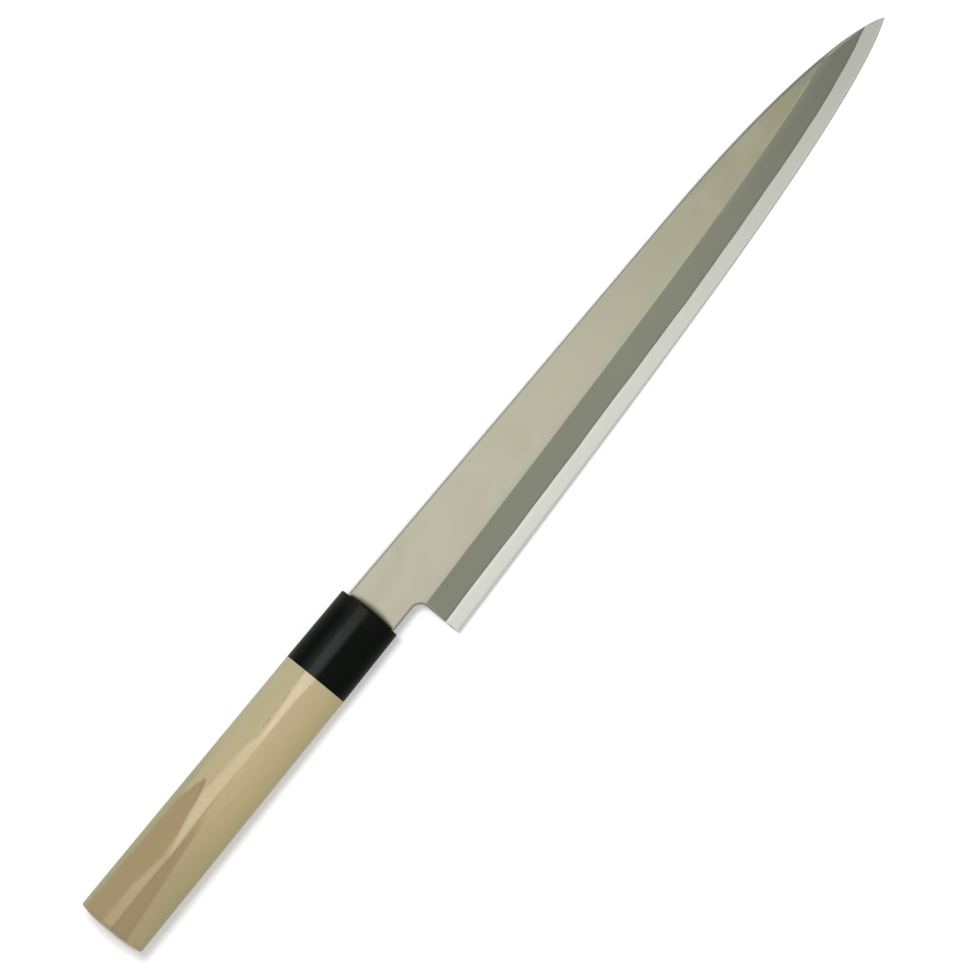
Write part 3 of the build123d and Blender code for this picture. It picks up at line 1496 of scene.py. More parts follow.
@dataclass(frozen=True)
class Magnolia(Finish):
    """Pale smooth magnolia with a streak of brown heartwood, a painted highlight along the facet of its
    ridge, and painted light and shade on its two sides.
    """

    pale: Colour = tone(198, 182, 141)
    deep: Colour = tone(184, 166, 124)
    # The upper colour is painted shade on the side towards the spine, and the lower colour further down is
    # painted light on the side towards the edge.
    upper: Colour = tone(183, 173, 136)
    blush: Colour = tone(194, 168, 138)
    moss: Colour = tone(180, 172, 122)
    lower: Colour = tone(192, 177, 128)
    heart: Colour = tone(161, 141, 104)
    core: Colour = tone(150, 131, 94)
    # The outline colour draws the heartwood's rim and the pores, and also the painted crease shade under the
    # ridge's facet; the colour after it is the facet's painted highlight.
    outline: Colour = tone(140, 122, 84)
    facet_highlight: Colour = tone(236, 218, 189)
    margin: Colour = tone(156, 154, 106)
    roughness: float = 0.42
    pith: Point = (30.0, -46.0)
    ring_scale: float = 0.42
    ring_drift: float = 0.004
    ring_share: float = 1.6
    bend_scales: tuple[float, float, float] = (0.014, 0.05, 0.05)
    bend_reach: float = 3.0
    fibre_scales: Point = (0.04, 3.2)
    fibre_rough: float = 0.2
    pore_scales: tuple[float, float, float] = (0.3, 8.0, 8.0)
    fleck_from: Point = (0.6, 0.72)
    fleck_share: float = 0.18
    relief_depth: float = 0.02
    patch_scales: tuple[float, float, float] = (0.09, 0.28, 0.28)
    blush_from: Point = (0.52, 0.7)
    moss_to: Point = (0.3, 0.48)
    patch_share: float = 0.4
    shaded_side_from: Point = (3.5, 6.5)
    shaded_side_fade: Point = (45.0, 95.0)
    lit_side_fade: Point = (-8.5, -2.5)
    lit_side_share: float = 0.85
    shade_from: Point = (60.0, 110.0)
    shade_share: float = 0.14
    stray: Point = (1.2, 0.5)
    over_from: Point = (2.0, 5.0)
    over_end: Point = (124.4, 125.2)
    facet_low_soft: float = 0.45
    facet_high_soft: float = 0.7
    line_below: float = 0.5
    line_soft: Point = (0.1, 0.7)
    line_from: Point = (60.0, 86.0)
    line_share: float = 0.45
    pore_soft: Point = (0.1, 0.4)
    pore_gaps: Point = (0.46, 0.56)
    pore_end: Point = (47.0, 52.0)
    pore_share: float = 0.4
    facet_foot: tuple[Point, ...] = (
        (26.0, 0.9),
        (36.0, 1.75),
        (60.0, 1.7),
        (76.0, 2.0),
        (87.0, 1.65),
        (97.5, 1.3),
        (110.0, 1.6),
        (120.0, 1.4),
    )
    facet_top: tuple[Point, ...] = (
        (26.0, 5.0),
        (36.6, 4.0),
        (46.0, 3.3),
        (51.0, 3.3),
        (55.0, 4.7),
        (65.5, 5.1),
        (76.0, 6.0),
        (87.0, 3.9),
        (97.5, 2.85),
        (110.0, 4.5),
        (120.0, 4.7),
    )
    facet_highlight_share: tuple[Point, ...] = (
        (26.0, 0.56),
        (46.0, 0.64),
        (55.0, 0.3),
        (64.0, 0.24),
        (76.0, 0.29),
        (87.0, 0.28),
        (97.5, 0.23),
        (110.0, 0.19),
        (120.0, 0.14),
    )
    pore_line: tuple[Point, ...] = ((29.0, 5.45), (39.0, 4.5), (48.0, 4.25))
    heart_foot: tuple[Point, ...] = ((71.0, 7.6), (76.2, 6.1), (84.6, 4.5), (91.5, 2.9), (98.0, 1.1))
    heart_top: tuple[Point, ...] = ((71.0, 7.6), (74.5, 9.0), (80.0, 10.0), (90.0, 10.3), (125.0, 11.0))
    heart_start: float = 71.0
    seam_start: float = 75.0
    seam_spread: float = 0.12
    seam_even: float = 9.0
    seam_end: float = 90.0
    seam_foot: Point = (-1.1, 0.3)
    seam_top: Point = (0.7, 1.3)
    seam_share: float = 0.72
    heart_soft: float = 0.4
    heart_from: Point = (-0.4, 0.6)
    heart_share: float = 0.95
    rim_soft: Point = (0.1, 0.7)
    rim_from: Point = (-0.4, 0.4)
    rim_fade: Point = (4.0, 12.0)
    rim_share: float = 0.7
    margin_from: Point = (9.6, 10.6)
    margin_fade: Point = (50.0, 75.0)
    margin_share: float = 0.6

    def dress(self, tree: Tree, place: Value) -> dict[str, Any]:
        """Works out what the shader's sockets hold.

        Args:
            tree: The material's tree.
            place: Place of a point in the knife's axes.

        Returns:
            The sockets' contents by name.
        """
        x, y, z = tree.parts(place)
        bend = (tree.noise(tree.stretched(place, self.bend_scales), 1.0, 2.0) - 0.5) * self.bend_reach
        out_y, out_z = y - self.pith[0] + bend, z - self.pith[1] + bend * 0.5
        radius = (out_y * out_y + out_z * out_z).math("SQRT")
        rings = tree.noise(tree.vector(radius * self.ring_scale, x * self.ring_drift, 0.0), 1.0, 3.0)
        length, width = self.fibre_scales
        fibre = tree.noise(tree.vector(x * length, y * width + bend, z * width), 1.0, 4.0, 0.6)
        pores = tree.noise(tree.stretched(place, self.pore_scales), 1.0, 2.0)
        back = -x
        patch = tree.noise(tree.stretched(place, self.patch_scales), 1.0, 3.0, 0.6)
        share = 0.5 + (rings - 0.5) * self.ring_share + (fibre - 0.5)
        colour = tree.mix(self.deep, self.pale, share)
        # Painted shade and light: the side towards the spine is drawn darker and the side towards the edge
        # lighter, each in a tint of the wood's own.
        upper = tree.step(y, *self.shaded_side_from) * tree.fall(back, *self.shaded_side_fade)
        colour = tree.mix(colour, self.upper, upper)
        colour = tree.mix(colour, self.blush, tree.step(patch, *self.blush_from) * self.patch_share)
        colour = tree.mix(colour, self.moss, tree.fall(patch, *self.moss_to) * self.patch_share)
        colour = tree.mix(colour, self.lower, tree.fall(y, *self.lit_side_fade) * self.lit_side_share)
        colour = tree.scaled(colour, 1.0 - tree.step(back, *self.shade_from) * self.shade_share)
        wander = (rings - 0.5) * self.stray[0] + (fibre - 0.5) * self.stray[1]
        colour = self.add_heart(tree, colour, back, y, wander)
        top = tree.step(z, *self.over_from) * tree.fall(back, *self.over_end)
        colour = self.add_facet(tree, colour, back, y, top)
        fleck = tree.step(pores, *self.fleck_from)
        colour = tree.mix(colour, self.core, fleck * self.fleck_share)
        return {
            "Base Color": colour,
            "Roughness": self.roughness + (fibre - 0.5) * self.fibre_rough,
            "Normal": self.relief(tree, fibre - fleck * 0.5, self.relief_depth),
        }

    def add_facet(self, tree: Tree, colour: Value, back: Value, y: Value, over: Value) -> Value:
        """Adds the painted highlight on the ridge's planed facet, the painted crease shade at its foot and
        the pores over its front.

        Args:
            tree: The material's tree.
            colour: Colour of the wood without it.
            back: Distance behind the collar's front face.
            y: Distance from the handle's axis towards the spine.
            over: One on the side with the ridge, and none below or on the butt.

        Returns:
            The colour.
        """
        # Painted highlight: the facet along the ridge is drawn paler.
        foot, top = tree.profile(back, self.facet_foot), tree.profile(back, self.facet_top)
        low, high = self.facet_low_soft, self.facet_high_soft
        shown = tree.step(y - foot, -low, low) * tree.fall(y - top, -high, high)
        # Painted crease shade: a dark line along the facet's foot.
        line = tree.fall(abs(y - foot + self.line_below), *self.line_soft)
        line = line * tree.step(back, *self.line_from)
        row = tree.fall(abs(y - tree.profile(back, self.pore_line)), *self.pore_soft)
        row = row * tree.step(tree.noise(tree.vector(back * 0.5, 0.0, 0.0), 1.0, 1.0), *self.pore_gaps)
        row = row * tree.fall(back, *self.pore_end)
        colour = tree.mix(colour, self.facet_highlight, shown * over * tree.profile(back, self.facet_highlight_share))
        return tree.mix(colour, self.outline, (line * self.line_share + row * self.pore_share) * over)

    def add_heart(self, tree: Tree, colour: Value, back: Value, y: Value, wander: Value) -> Value:
        """Adds the heartwood above the ridge's facet and its seam below it.

        Args:
            tree: The material's tree.
            colour: Colour of the wood without it.
            back: Distance behind the collar's front face.
            y: Distance from the handle's axis towards the spine.
            wander: How far its limits stray.

        Returns:
            The colour.
        """
        past = back - self.heart_start
        foot = tree.profile(back, self.heart_foot)
        place = y + wander
        streak = tree.within(place, foot, tree.profile(back, self.heart_top), self.heart_soft)
        streak = streak * tree.step(past, *self.heart_from)
        reach = (back - self.seam_start - self.seam_even).math("MAXIMUM", 0.0) * self.seam_spread
        seam = tree.step(place + reach, *self.seam_foot) * tree.fall(place, *self.seam_top)
        seam = seam * tree.step(back, self.seam_start, self.seam_end)
        rim = tree.fall(abs(place - foot), *self.rim_soft) * tree.fall(past, *self.rim_fade)
        outer = tree.step(place, *self.margin_from) * tree.step(back, *self.margin_fade)
        colour = tree.mix(colour, self.margin, outer * self.margin_share)
        colour = tree.mix(colour, self.heart, streak * self.heart_share)
        colour = tree.mix(colour, self.core, seam * self.seam_share)
        return tree.mix(colour, self.outline, rim * tree.step(past, *self.rim_from) * self.rim_share)


@dataclass(frozen=True)
class BlackPlastic(Finish):
    """Black plastic, dull on its sides and glossy along its ridge, where a painted sheen lightens it, with
    fine rubbed lines.
    """

    colour: Colour = tone(8, 13, 9)
    # The sheen colour is a painted sheen, lighter than the plastic.
    painted_sheen: Colour = tone(17, 26, 23)
    brown: Colour = tone(30, 25, 16)
    glossy: Point = (1.4, 7.2)
    gloss: float = 0.7
    gloss_rise: Point = (-1.0, 1.2)
    gloss_fall: Point = (-2.6, 1.0)
    gloss_fade: Point = (-16.0, -2.0)
    gloss_loss: float = 0.4
    rub_scales: tuple[float, float, float] = (0.15, 5.0, 5.0)
    rub_rough: float = 0.14
    brown_from: Point = (-7.0, -1.0)
    brown_across: Point = (-3.0, 3.0)
    brown_share: float = 0.6
    roughness: float = 0.4
    specular: float = 0.06
    coat_roughness: float = 0.2
    depth: float = 0.004

    def dress(self, tree: Tree, place: Value) -> dict[str, Any]:
        """Works out what the shader's sockets hold.

        Args:
            tree: The material's tree.
            place: Place of a point in the knife's axes.

        Returns:
            The sockets' contents by name.
        """
        x, y, _ = tree.parts(place)
        rub = tree.noise(tree.stretched(place, self.rub_scales), 1.0, 4.0, 0.6)
        cloud = tree.noise(place, 0.2, 3.0)
        low, high = self.glossy
        rising = tree.step(y, *(low + past for past in self.gloss_rise))
        sheen_band = rising * tree.fall(y, *(high + past for past in self.gloss_fall))
        # Painted sheen: the base colour is lightened along the ridge, where the light is mirrored; the coat
        # there adds the real gloss.
        colour = tree.mix(self.colour, self.painted_sheen, sheen_band)
        brown = tree.step(x, *self.brown_from) * tree.step(y, *self.brown_across)
        colour = tree.mix(colour, self.brown, brown * self.brown_share)
        return {
            "Base Color": tree.scaled(colour, 0.75 + cloud * 0.5),
            "Roughness": self.roughness + (rub - 0.5) * self.rub_rough,
            "Specular IOR Level": self.specular,
            "Coat Weight": sheen_band * (1.0 - tree.step(x, *self.gloss_fade) * self.gloss_loss) * self.gloss,
            "Coat Roughness": self.coat_roughness,
            "Normal": self.relief(tree, rub, self.depth),
        }


@dataclass(frozen=True)
class CuredAdhesive(Finish):
    """The adhesive that beds the tang, slightly rough and uneven."""

    colour: Colour = (0.45, 0.36, 0.22)
    dark_share: float = 0.7
    lump_scale: float = 1.2
    roughness: float = 0.5
    lump_rough: float = 0.3
    depth: float = 0.05

    def dress(self, tree: Tree, place: Value) -> dict[str, Any]:
        """Works out what the shader's sockets hold.

        Args:
            tree: The material's tree.
            place: Place of a point in the knife's axes.

        Returns:
            The sockets' contents by name.
        """
        lumps = tree.noise(place, self.lump_scale, 3.0)
        darker = tuple(channel * self.dark_share for channel in self.colour)
        return {
            "Base Color": tree.mix(darker, self.colour, lumps),
            "Roughness": self.roughness + (lumps - 0.5) * self.lump_rough,
            "Normal": self.relief(tree, lumps, self.depth),
        }


@dataclass(frozen=True)
class Section:
    """The handle's section at one place, drawn in by an inset.

    The rounding of its ridge starts at a share of the side towards the spine and of the side
    towards the edge, and takes the rest of both.
    """

    place: float
    width: float
    depth: float
    rise: float
    ridge: float
    spine_share: float
    edge_share: float
    inset: float = 0.0


class RidgedBar:
    """A geometry node tree that draws a straight-sided bar between two of the handle's sections."""

    SIZES = ("place", "width", "depth", "rise", "ridge", "spine_share", "edge_share", "inset")
    SPANS = 5
    QUARTER = 0.5523
    ROUND = 0.667
    WELD = 0.002

    def __init__(self) -> None:
        """Builds the tree with its named inputs."""
        group = bpy.data.node_groups.new("ridged_bar", "GeometryNodeTree")
        self.tree = Tree(group)
        group.interface.new_socket(name="Bar", in_out="OUTPUT", socket_type="NodeSocketGeometry")
        numbers = [f"{end} {size}" for end in ("Front", "Rear") for size in self.SIZES]
        numbers += ["Ridge slope", "Side fullness", "Ridge reach"]
        self.keys: dict[str, str] = {}
        for name in numbers:
            self.keys[name] = self.new_input(name, "NodeSocketFloat")
        for name in ("Faces to a span", "Rings"):
            self.keys[name] = self.new_input(name, "NodeSocketInt")
        self.keys["Material"] = self.new_input("Material", "NodeSocketMaterial")
        node = self.tree.node("NodeGroupInput", {}, {})
        self.inputs = {name: Value(self.tree, node.outputs[name]) for name in self.keys}
        self.draw()

    def new_input(self, name: str, kind: str) -> str:
        """Returns the identifier of a new input of the tree."""
        interface = self.tree.nodes.interface
        return interface.new_socket(name=name, in_out="INPUT", socket_type=kind).identifier

    @staticmethod
    def cut(guides: Sequence[Sequence[Any]], share: Any) -> tuple[list[Any], Any]:
        """Cuts a curve short.

        Args:
            guides: Its four guide points.
            share: How much of it is left.

        Returns:
            Guide points of what is left, and a point further on in the direction in which it ends.
        """
        first = [blend_point(a, b, share) for a, b in zip(guides, guides[1:])]
        second = [blend_point(a, b, share) for a, b in zip(first, first[1:])]
        return [guides[0], first[0], second[0], blend_point(*second, share)], second[1]

    def guides(self, end: str) -> list[list[Value]]:
        """Works out the guide points of one section's five curves.

        Args:
            end: Which section, Front or Rear.

        Returns:
            Four guide points for each curve.
        """
        tree, given = self.tree, self.inputs
        _, width, depth, rise, ridge, *shares, inset = (given[f"{end} {size}"] for size in self.SIZES)
        half, low, high = width / 2 - inset, depth - inset, rise - inset
        fall = given["Ridge slope"].math("TANGENT")
        sides = []
        for way, share in zip((1.0, -1.0), shares):
            edge, reach = half * way, (half - ridge * way) * given["Ridge reach"]
            shoulder = (ridge + reach * way, high - fall * reach)
            curve = [(edge, 0.0), (edge, high * given["Side fullness"]), shoulder, (ridge, high)]
            sides.append(self.cut(curve, share))
        middle = (sides[0][0][3][0] + sides[1][0][3][0]) / 2
        tops = []
        for (*_, last), onward in sides:
            reach = (last[0] - middle) * self.ROUND / (last[0] - onward[0])
            tops.append([last, blend_point(last, onward, reach)])
        curves = [
            sides[0][0],
            tops[0] + tops[1][::-1],
            sides[1][0][::-1],
            [(-half, 0.0), (-half, low * -self.QUARTER), (half * -self.QUARTER, -low), (0.0, -low)],
            [(0.0, -low), (half * self.QUARTER, -low), (half, low * -self.QUARTER), (half, 0.0)],
        ]
        return [[tree.vector(given[f"{end} place"], y, z) for y, z in curve] for curve in curves]

    def pick(self, index: Value, choices: Sequence[Value]) -> Value:
        """Chooses one of some vectors.

        Args:
            index: Which one.
            choices: The vectors.

        Returns:
            The vector chosen.
        """
        node = self.tree.nodes.nodes.new("GeometryNodeIndexSwitch")
        node.data_type = "VECTOR"
        while len(node.index_switch_items) < len(choices):
            node.index_switch_items.new()
        for i, choice in enumerate((index, *choices)):
            self.tree.feed(node.inputs[i], choice)
        return Value(self.tree, node.outputs[0])

    def section_point(self, end: str, span: Value, share: Value) -> Value:
        """Finds a point of a section.

        Args:
            end: Which section, Front or Rear.
            span: Which of its curves.
            share: How far along the curve.

        Returns:
            The point.
        """
        tree = self.tree
        rest = 1.0 - share
        weights = (rest * rest * rest, rest * rest * share * 3.0, rest * share * share * 3.0)
        weights += (share * share * share,)
        total = None
        for place, weight in enumerate(weights):
            guide = self.pick(span, [curve[place] for curve in self.guides(end)])
            term = tree.scaled(guide, weight)
            total = term if total is None else tree.added(total, term)
        return total

    def draw(self) -> None:
        """Lays a grid round and along the bar, closes its seam and gives it its material."""
        tree, given = self.tree, self.inputs
        faces, rings = given["Faces to a span"], given["Rings"]
        sockets = {"Vertices X": faces * self.SPANS + 1.0, "Vertices Y": rings}
        grid = tree.add("GeometryNodeMeshGrid", None, sockets)
        index = tree.add("GeometryNodeInputIndex")
        around = ((index + 0.5) / rings).math("FLOOR")
        along = (index - around * rings) / (rings - 1.0)
        span = ((around + 0.5) / faces).math("FLOOR").math("MINIMUM", self.SPANS - 1.0)
        share = around / faces - span
        front = self.section_point("Front", span, share)
        rear = self.section_point("Rear", span, share)
        place = tree.added(tree.scaled(front, 1.0 - along), tree.scaled(rear, along))
        bar = tree.add("GeometryNodeSetPosition", None, {"Geometry": grid, "Position": place})
        bar = tree.add("GeometryNodeMergeByDistance", None, {"Geometry": bar, "Distance": self.WELD})
        bar = tree.add("GeometryNodeRealizeInstances", None, {"Geometry": bar})
        bar = tree.add("GeometryNodeSetMaterial", None, {"Geometry": bar, "Material": given["Material"]})
        tree.node("NodeGroupOutput", {}, {0: bar})

    def make(self, sizes: dict[str, Any]) -> bpy.types.Mesh:
        """Draws one bar.

        Args:
            sizes: What the tree's inputs hold, by name.

        Returns:
            The bar's side as a plain mesh, open at both ends.
        """
        carrier = bpy.data.objects.new("bar", bpy.data.meshes.new("bar"))
        bpy.context.scene.collection.objects.link(carrier)
        modifier = carrier.modifiers.new("ridged_bar", "NODES")
        modifier.node_group = self.tree.nodes
        for name, value in sizes.items():
            modifier[self.keys[name]] = value
        graph = bpy.context.evaluated_depsgraph_get()
        mesh = bpy.data.meshes.new_from_object(carrier.evaluated_get(graph))
        carrier.modifiers.clear()
        bpy.data.objects.remove(carrier)
        return mesh


@dataclass
class Handle:
    """The magnolia handle with its tenon, and the black collar."""

    resting: Resting
    front: Section = Section(0.0, 21.6, 8.5, 9.4, 3.4, 0.665, 0.899)
    joint: Section = Section(-26.2, 22.2, 8.9, 9.9, 3.1, 0.737, 0.902)
    butt: Section = Section(-125.25, 23.35, 9.4, 10.5, 2.2, 0.83, 0.906)
    ridge_slope_deg: float = 13.0
    side_fullness: float = 0.6
    ridge_reach: float = 0.5
    collar_wall: float = 1.9
    front_ease: float = 0.45
    joint_ease: float = 0.14
    butt_bevel_width: float = 5.0
    butt_bevel_length: float = 1.0
    butt_rim_ease: float = 0.7
    butt_face_ease: float = 2.5
    slot_length: float = 87.0
    slot_front: Point = (13.9, 4.3)
    slot_end: Point = (7.4, 3.1)
    faces_to_span: int = 14
    collar_rings: int = 9
    wood_rings: int = 31
    butt_rings: int = 2
    front_steps: int = 4
    joint_steps: int = 2
    rim_pull: float = 0.6
    rim_points: int = 6
    rim_reach: float = 8.0
    rim_room: float = 0.5
    crease: float = 30.0

    def bar(self, tree: RidgedBar, front: Section, rear: Section, rings: int) -> bpy.types.Mesh:
        """Draws the side of one stretch of the handle.

        Args:
            tree: The node tree that draws it.
            front: Section at its front.
            rear: Section at its rear.
            rings: Rings of points along it.

        Returns:
            Its mesh.
        """
        sizes: dict[str, Any] = {"Ridge slope": math.radians(self.ridge_slope_deg)}
        for end, section in (("Front", front), ("Rear", rear)):
            for size in RidgedBar.SIZES:
                sizes[f"{end} {size}"] = getattr(section, size)
        sizes |= {"Side fullness": self.side_fullness, "Ridge reach": self.ridge_reach}
        sizes |= {"Faces to a span": self.faces_to_span, "Rings": rings}
        return tree.make(sizes)

    def core(self, tree: RidgedBar) -> bpy.types.Mesh:
        """Returns the side of the tenon, which is also the collar's bore."""
        front = replace(self.front, inset=self.collar_wall)
        return self.bar(tree, front, replace(self.joint, inset=self.collar_wall), self.collar_rings)

    def wood_section(self, place: float, inset: float) -> Section:
        """Returns the wood's section at one place.

        Args:
            place: The place.
            inset: How far it is drawn in.

        Returns:
            The section.
        """
        share = (place - self.joint.place) / (self.butt.place - self.joint.place)
        ends = [[getattr(section, size) for size in RidgedBar.SIZES] for section in (self.joint, self.butt)]
        return replace(Section(*blend_point(*ends, share)), inset=inset)

    def butt_end(self) -> list[Section]:
        """Works out the rounded bevel round the butt.

        Returns:
            Its sections, from the end of the side to the flat end face.
        """
        rim = np.array([self.butt.place + self.butt_bevel_length, 0.0])
        face = np.array([self.butt.place, self.butt_bevel_width])
        down = (face - rim) / np.hypot(*(face - rim))
        sections = []
        for corner, before, after, size in (
            (rim, np.array([-1.0, 0.0]), down, self.butt_rim_ease),
            (face, down, np.array([0.0, 1.0]), self.butt_face_ease),
        ):
            ends = (corner - before * size, corner + after * size)
            pulled = [blend(end, corner, self.rim_pull) for end in ends]
            guides = [ends[0], *pulled, ends[1]]
            for place, inset in bezier(guides, np.linspace(0, 1, self.rim_points)):
                sections.append(self.wood_section(float(place), float(inset)))
        return sections

    @staticmethod
    def rim(shell: Shell, x: float, reach: float) -> list[Any]:
        """Returns the outer rim's edges at a distance ahead of the collar.

        Args:
            shell: The shell.
            x: The distance.
            reach: Least distance of the rim from the handle's axis.

        Returns:
            The edges.
        """
        return [
            edge
            for edge in shell.mesh.edges
            if all(
                abs(v.co.x - x) < Shell.NEAR and math.hypot(v.co.y, v.co.z) > reach for v in edge.verts
            )
        ]

    def open_rim(self, shell: Shell, section: Section) -> list[Any]:
        """Returns the open edges of the shell at a section's place that have just been added."""
        reach = section.width / 2 - section.inset + self.rim_room
        return [e for e in shell.open_edges(section.place) if all(abs(v.co.y) < reach for v in e.verts)]

    def build_collar(self, tree: RidgedBar, materials: dict[Any, bpy.types.Material]) -> bpy.types.Object:
        """Builds the collar ring.

        Args:
            tree: The node tree that draws its sides.
            materials: The material of each finish.

        Returns:
            The collar.
        """
        shell = Shell("handle_collar")
        shell.take(self.bar(tree, self.front, self.joint, self.collar_rings), "collar")
        outer = {x: self.rim(shell, x, 0.0) for x in (self.front.place, self.joint.place)}
        shell.take(self.core(tree), "collar")
        shell.bridge(self.front.place)
        shell.bridge(self.joint.place)
        shell.ease(outer[self.front.place], self.front_ease, self.front_steps)
        shell.ease(outer[self.joint.place], self.joint_ease, self.joint_steps)
        return shell.piece(self.resting, materials, self.crease)

    def build_wood(self, tree: RidgedBar, materials: dict[Any, bpy.types.Material]) -> bpy.types.Object:
        """Builds the wooden handle with its tenon and the slot for the tang.

        Args:
            tree: The node tree that draws its sides.
            materials: The material of each finish.

        Returns:
            The handle.
        """
        shell = Shell("handle_wood")
        end = self.butt_end()
        shell.take(self.bar(tree, self.joint, end[0], self.wood_rings), "wood")
        for front, rear in zip(end, end[1:]):
            shell.take(self.bar(tree, front, rear, self.butt_rings), "wood")
        bmesh.ops.contextual_create(shell.mesh, geom=self.open_rim(shell, end[-1]))
        shell.take(self.core(tree), "wood")
        shell.bridge(self.joint.place)
        shell.wedge(self.slot_front, self.slot_end, self.slot_length, "wood")
        shell.close_doubles()
        shell.fill(0.0, "wood")
        rim = self.rim(shell, self.joint.place, self.rim_reach)
        shell.ease(rim, self.joint_ease, self.joint_steps)
        return shell.piece(self.resting, materials, self.crease)


@dataclass
class Studio:
    """The pale floor, the soft lamp and the camera above the knife."""

    resting: Resting
    picture_width: float = 0.2956
    picture_centre: Point = (52.3, -2.53)
    picture_turn_deg: float = 39.3
    camera_height: float = 6.0
    sensor: float = 36.0
    clip: Point = (0.05, 30.0)
    floor_size: float = 3.0
    floor_lit: Colour = (0.86, 0.86, 0.86)
    floor_seen: Colour = (0.75, 0.73, 0.74)
    floor_glow: Colour = (0.97, 1.0, 0.98)
    floor_glow_level: float = 0.36
    room_level: float = 0.4
    mirrored_level: float = 0.3
    window_lean_deg: float = 20.0
    window_edges_deg: Point = (48.0, 28.0)
    lamp_distance: float = 1.44
    lamp_lean_deg: float = 13.0
    lamp_size: float = 0.3
    lamp_power: float = 13.0

    def build(self) -> None:
        """Builds the whole studio."""
        self.add_floor()
        self.add_world()
        self.add_lamp()
        self.add_camera()

    def upright(self) -> tuple[Vector, Vector]:
        """Finds how the picture is turned.

        Returns:
            The level directions that are right and up in it.
        """
        ahead = self.resting.turn @ Vector((1.0, 0.0, 0.0))
        ahead.z = 0
        up = Matrix.Rotation(math.radians(self.picture_turn_deg), 3, "Z") @ ahead.normalized()
        return up.cross(Vector((0, 0, 1))), up

    def add_floor(self) -> None:
        """Adds the floor, white to the camera but for the knife's shadow."""
        mesh = bpy.data.meshes.new("floor")
        half = self.floor_size / 2
        corners = [(-half, -half, 0), (half, -half, 0), (half, half, 0), (-half, half, 0)]
        mesh.from_pydata(corners, [], [(0, 1, 2, 3)])
        floor = bpy.data.objects.new("floor", mesh)
        bpy.context.scene.collection.objects.link(floor)
        material = bpy.data.materials.new("pale_floor")
        material.use_nodes = True
        tree = Tree(material.node_tree)
        shown = tree.add("ShaderNodeLightPath", out="Is Camera Ray")
        sockets = {
            "Base Color": tree.mix(self.floor_lit, self.floor_seen, shown),
            "Roughness": 1.0,
            "Specular IOR Level": 0.0,
            "Emission Color": tree.mix((0, 0, 0), self.floor_glow, shown),
            "Emission Strength": self.floor_glow_level,
        }
        shader = tree.add("ShaderNodeBsdfPrincipled", None, sockets)
        tree.node("ShaderNodeOutputMaterial", {}, {"Surface": shader})
        mesh.materials.append(material)

    def add_world(self) -> None:
        """Adds the room's even light, and the bright window that the metal mirrors."""
        middle = self.leaning(-self.window_lean_deg)
        world = bpy.data.worlds.new("room")
        bpy.context.scene.world = world
        world.use_nodes = True
        tree = Tree(world.node_tree)
        way = tree.add("ShaderNodeTexCoord", out="Generated")
        facing = tree.add(
            "ShaderNodeVectorMath", {"operation": "DOT_PRODUCT"}, {0: way, 1: middle}, out="Value"
        )
        outer, inner = (math.cos(math.radians(angle)) for angle in self.window_edges_deg)
        mirrored = self.mirrored_level + tree.step(facing, outer, inner) * (1 - self.mirrored_level)
        rays = tree.node("ShaderNodeLightPath", {}, {})
        seen, glossy = (Value(tree, rays.outputs[f"Is {kind} Ray"]) for kind in ("Camera", "Glossy"))
        level = self.room_level + seen * (1 - self.room_level) + glossy * (mirrored - self.room_level)
        colour = tree.mix((0, 0, 0), (1.0, 1.0, 1.0), level)
        shader = tree.add("ShaderNodeBackground", None, {"Color": colour, "Strength": 1.0})
        tree.node("ShaderNodeOutputWorld", {}, {"Surface": shader})

    def leaning(self, angle: float) -> Vector:
        """Leans the way up towards the spine's side.

        Args:
            angle: By how many degrees.

        Returns:
            The direction.
        """
        side = self.resting.turn @ Vector((0.0, 1.0, 0.0))
        side.z = 0
        lean = math.radians(angle)
        return side.normalized() * math.sin(lean) + Vector((0, 0, math.cos(lean)))

    def add_lamp(self) -> None:
        """Adds the soft lamp above the spine's side, which casts the narrow shadow."""
        centre = self.resting.point(*self.picture_centre, 0.0)
        way = self.leaning(self.lamp_lean_deg)
        lamp = bpy.data.lights.new("lamp", "AREA")
        lamp.shape = "SQUARE"
        lamp.size = self.lamp_size
        lamp.energy = self.lamp_power
        item = bpy.data.objects.new("lamp", lamp)
        item.visible_glossy = False
        item.location = centre + way * self.lamp_distance
        item.rotation_euler = (-way).to_track_quat("-Z", "Y").to_euler()
        bpy.context.scene.collection.objects.link(item)

    def add_camera(self) -> None:
        """Adds the camera, straight above the middle of the picture."""
        right, up = self.upright()
        centre = self.resting.point(*self.picture_centre, 0.0)
        camera = bpy.data.cameras.new("camera")
        camera.sensor_width = self.sensor
        camera.lens = self.sensor * self.camera_height / self.picture_width
        camera.clip_start, camera.clip_end = self.clip
        item = bpy.data.objects.new("camera", camera)
        axes = Matrix((right, up, Vector((0, 0, 1)))).transposed().to_4x4()
        item.matrix_world = Matrix.Translation(centre + Vector((0, 0, self.camera_height))) @ axes
        bpy.context.scene.collection.objects.link(item)
        bpy.context.scene.camera = item
        bpy.context.scene.view_settings.view_transform = "Standard"


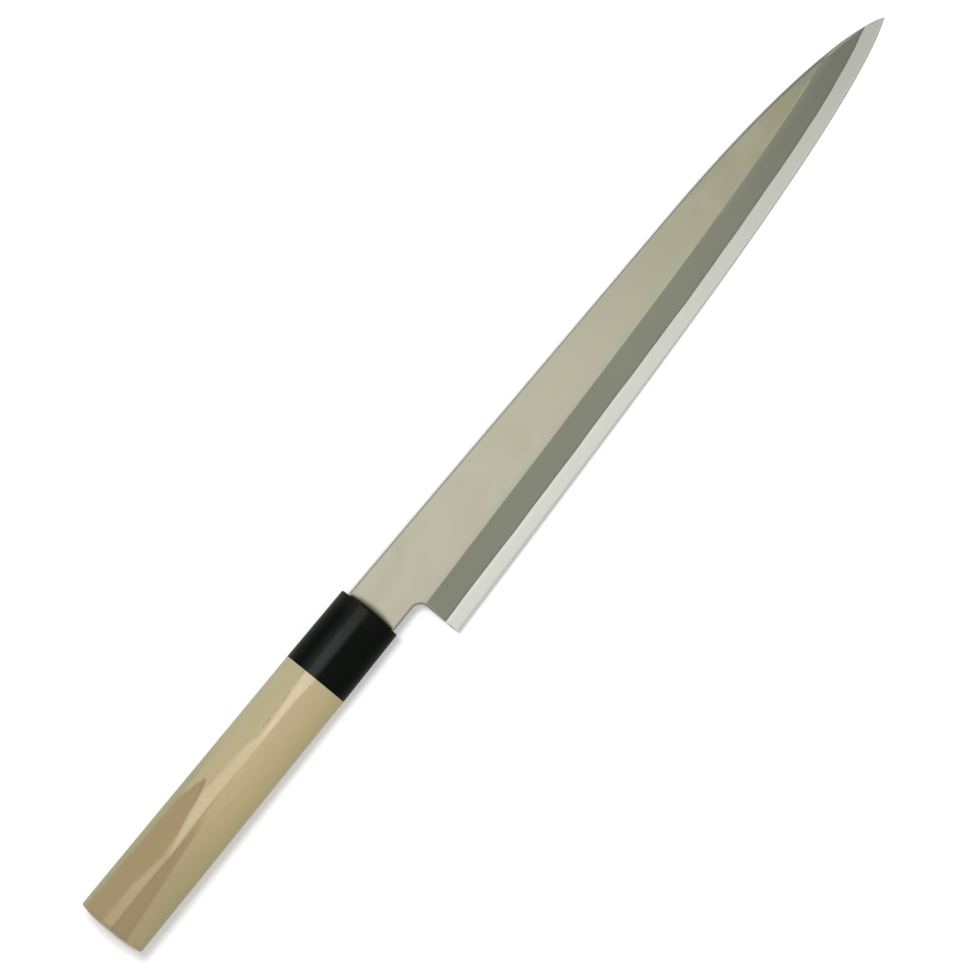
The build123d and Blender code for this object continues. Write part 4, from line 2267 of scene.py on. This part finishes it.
def blade_materials(resting: Resting) -> dict[Face, bpy.types.Material]:
    """Builds the blade's materials.

    Args:
        resting: Where the knife lies.

    Returns:
        The material of each finish.
    """
    # Each far colour below is painted shade, darker towards the tip.
    finishes: dict[Face, Finish] = {
        Face.FLAT: FlatSide(
            resting,
            Face.FLAT.value,
            light=tone(202, 199, 179),
            dark=tone(193, 190, 170),
            far=tone(145, 143, 112),
        ),
        Face.MISTY: MistyBevel(
            resting,
            Face.MISTY.value,
            light=tone(160, 163, 146),
            dark=tone(147, 150, 134),
            far=tone(135, 137, 123),
            tip_shade_span=(0.35, 0.9),
            turn_deg=78.0,
            roughness=0.5,
        ),
        Face.BRIGHT: BrightBevel(
            resting,
            Face.BRIGHT.value,
            light=tone(226, 228, 217),
            dark=tone(218, 220, 209),
            far=tone(185, 187, 176),
            roughness=0.3,
        ),
        Face.KEEN: GroundMetal(
            resting,
            Face.KEEN.value,
            light=tone(246, 247, 242),
            dark=tone(238, 239, 234),
            far=tone(205, 207, 198),
            roughness=0.45,
        ),
        Face.SPINE: EasedSide(
            resting,
            Face.SPINE.value,
            light=tone(249, 250, 240),
            dark=tone(240, 241, 231),
            far=tone(178, 179, 164),
            tip_shade_span=(0.3, 0.95),
            roughness=0.36,
        ),
        Face.RIM: GroundMetal(
            resting, Face.RIM.value, light=tone(220, 221, 217), dark=tone(196, 197, 193), roughness=0.24
        ),
        Face.HOLLOW: GroundMetal(
            resting,
            Face.HOLLOW.value,
            light=tone(190, 191, 186),
            dark=tone(160, 161, 156),
            line_scales=(5.0, 0.06, 5.0),
            roughness=0.38,
        ),
        Face.INNER: GroundMetal(
            resting, Face.INNER.value, light=tone(120, 116, 108), dark=tone(90, 86, 80), roughness=0.55
        ),
    }
    return {face: finish.build() for face, finish in finishes.items()}


def main() -> None:
    """Builds the knife and its studio."""
    logging.basicConfig(level=logging.INFO, format="%(name)s %(message)s")
    resting = Resting(frame["record"], BladeShape().back)
    blade = Blade(resting)
    iron, steel = blade.build(blade_materials(resting))
    tree = RidgedBar()
    handle = Handle(resting)
    parts = {
        "wood": Magnolia(resting, "magnolia_wood").build(),
        "collar": BlackPlastic(resting, "collar_plastic").build(),
    }
    wood = handle.build_wood(tree, parts)
    collar = handle.build_collar(tree, parts)
    bedding = frame["nodes"]["tang_bedding"]
    bedding.data.materials.clear()
    bedding.data.materials.append(CuredAdhesive(resting, "tang_adhesive").build())
    stands = (
        (iron, "soft_iron_body", "soft_iron"),
        (steel, "hard_steel_edge", "hard_steel"),
        (wood, "handle_body", "magnolia_wood"),
        (collar, "collar", "collar_plastic"),
    )
    for piece, node, slot in stands:
        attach(piece, "root")
        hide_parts(node)
    Studio(resting).build()


if __name__ == "__main__":
    main()
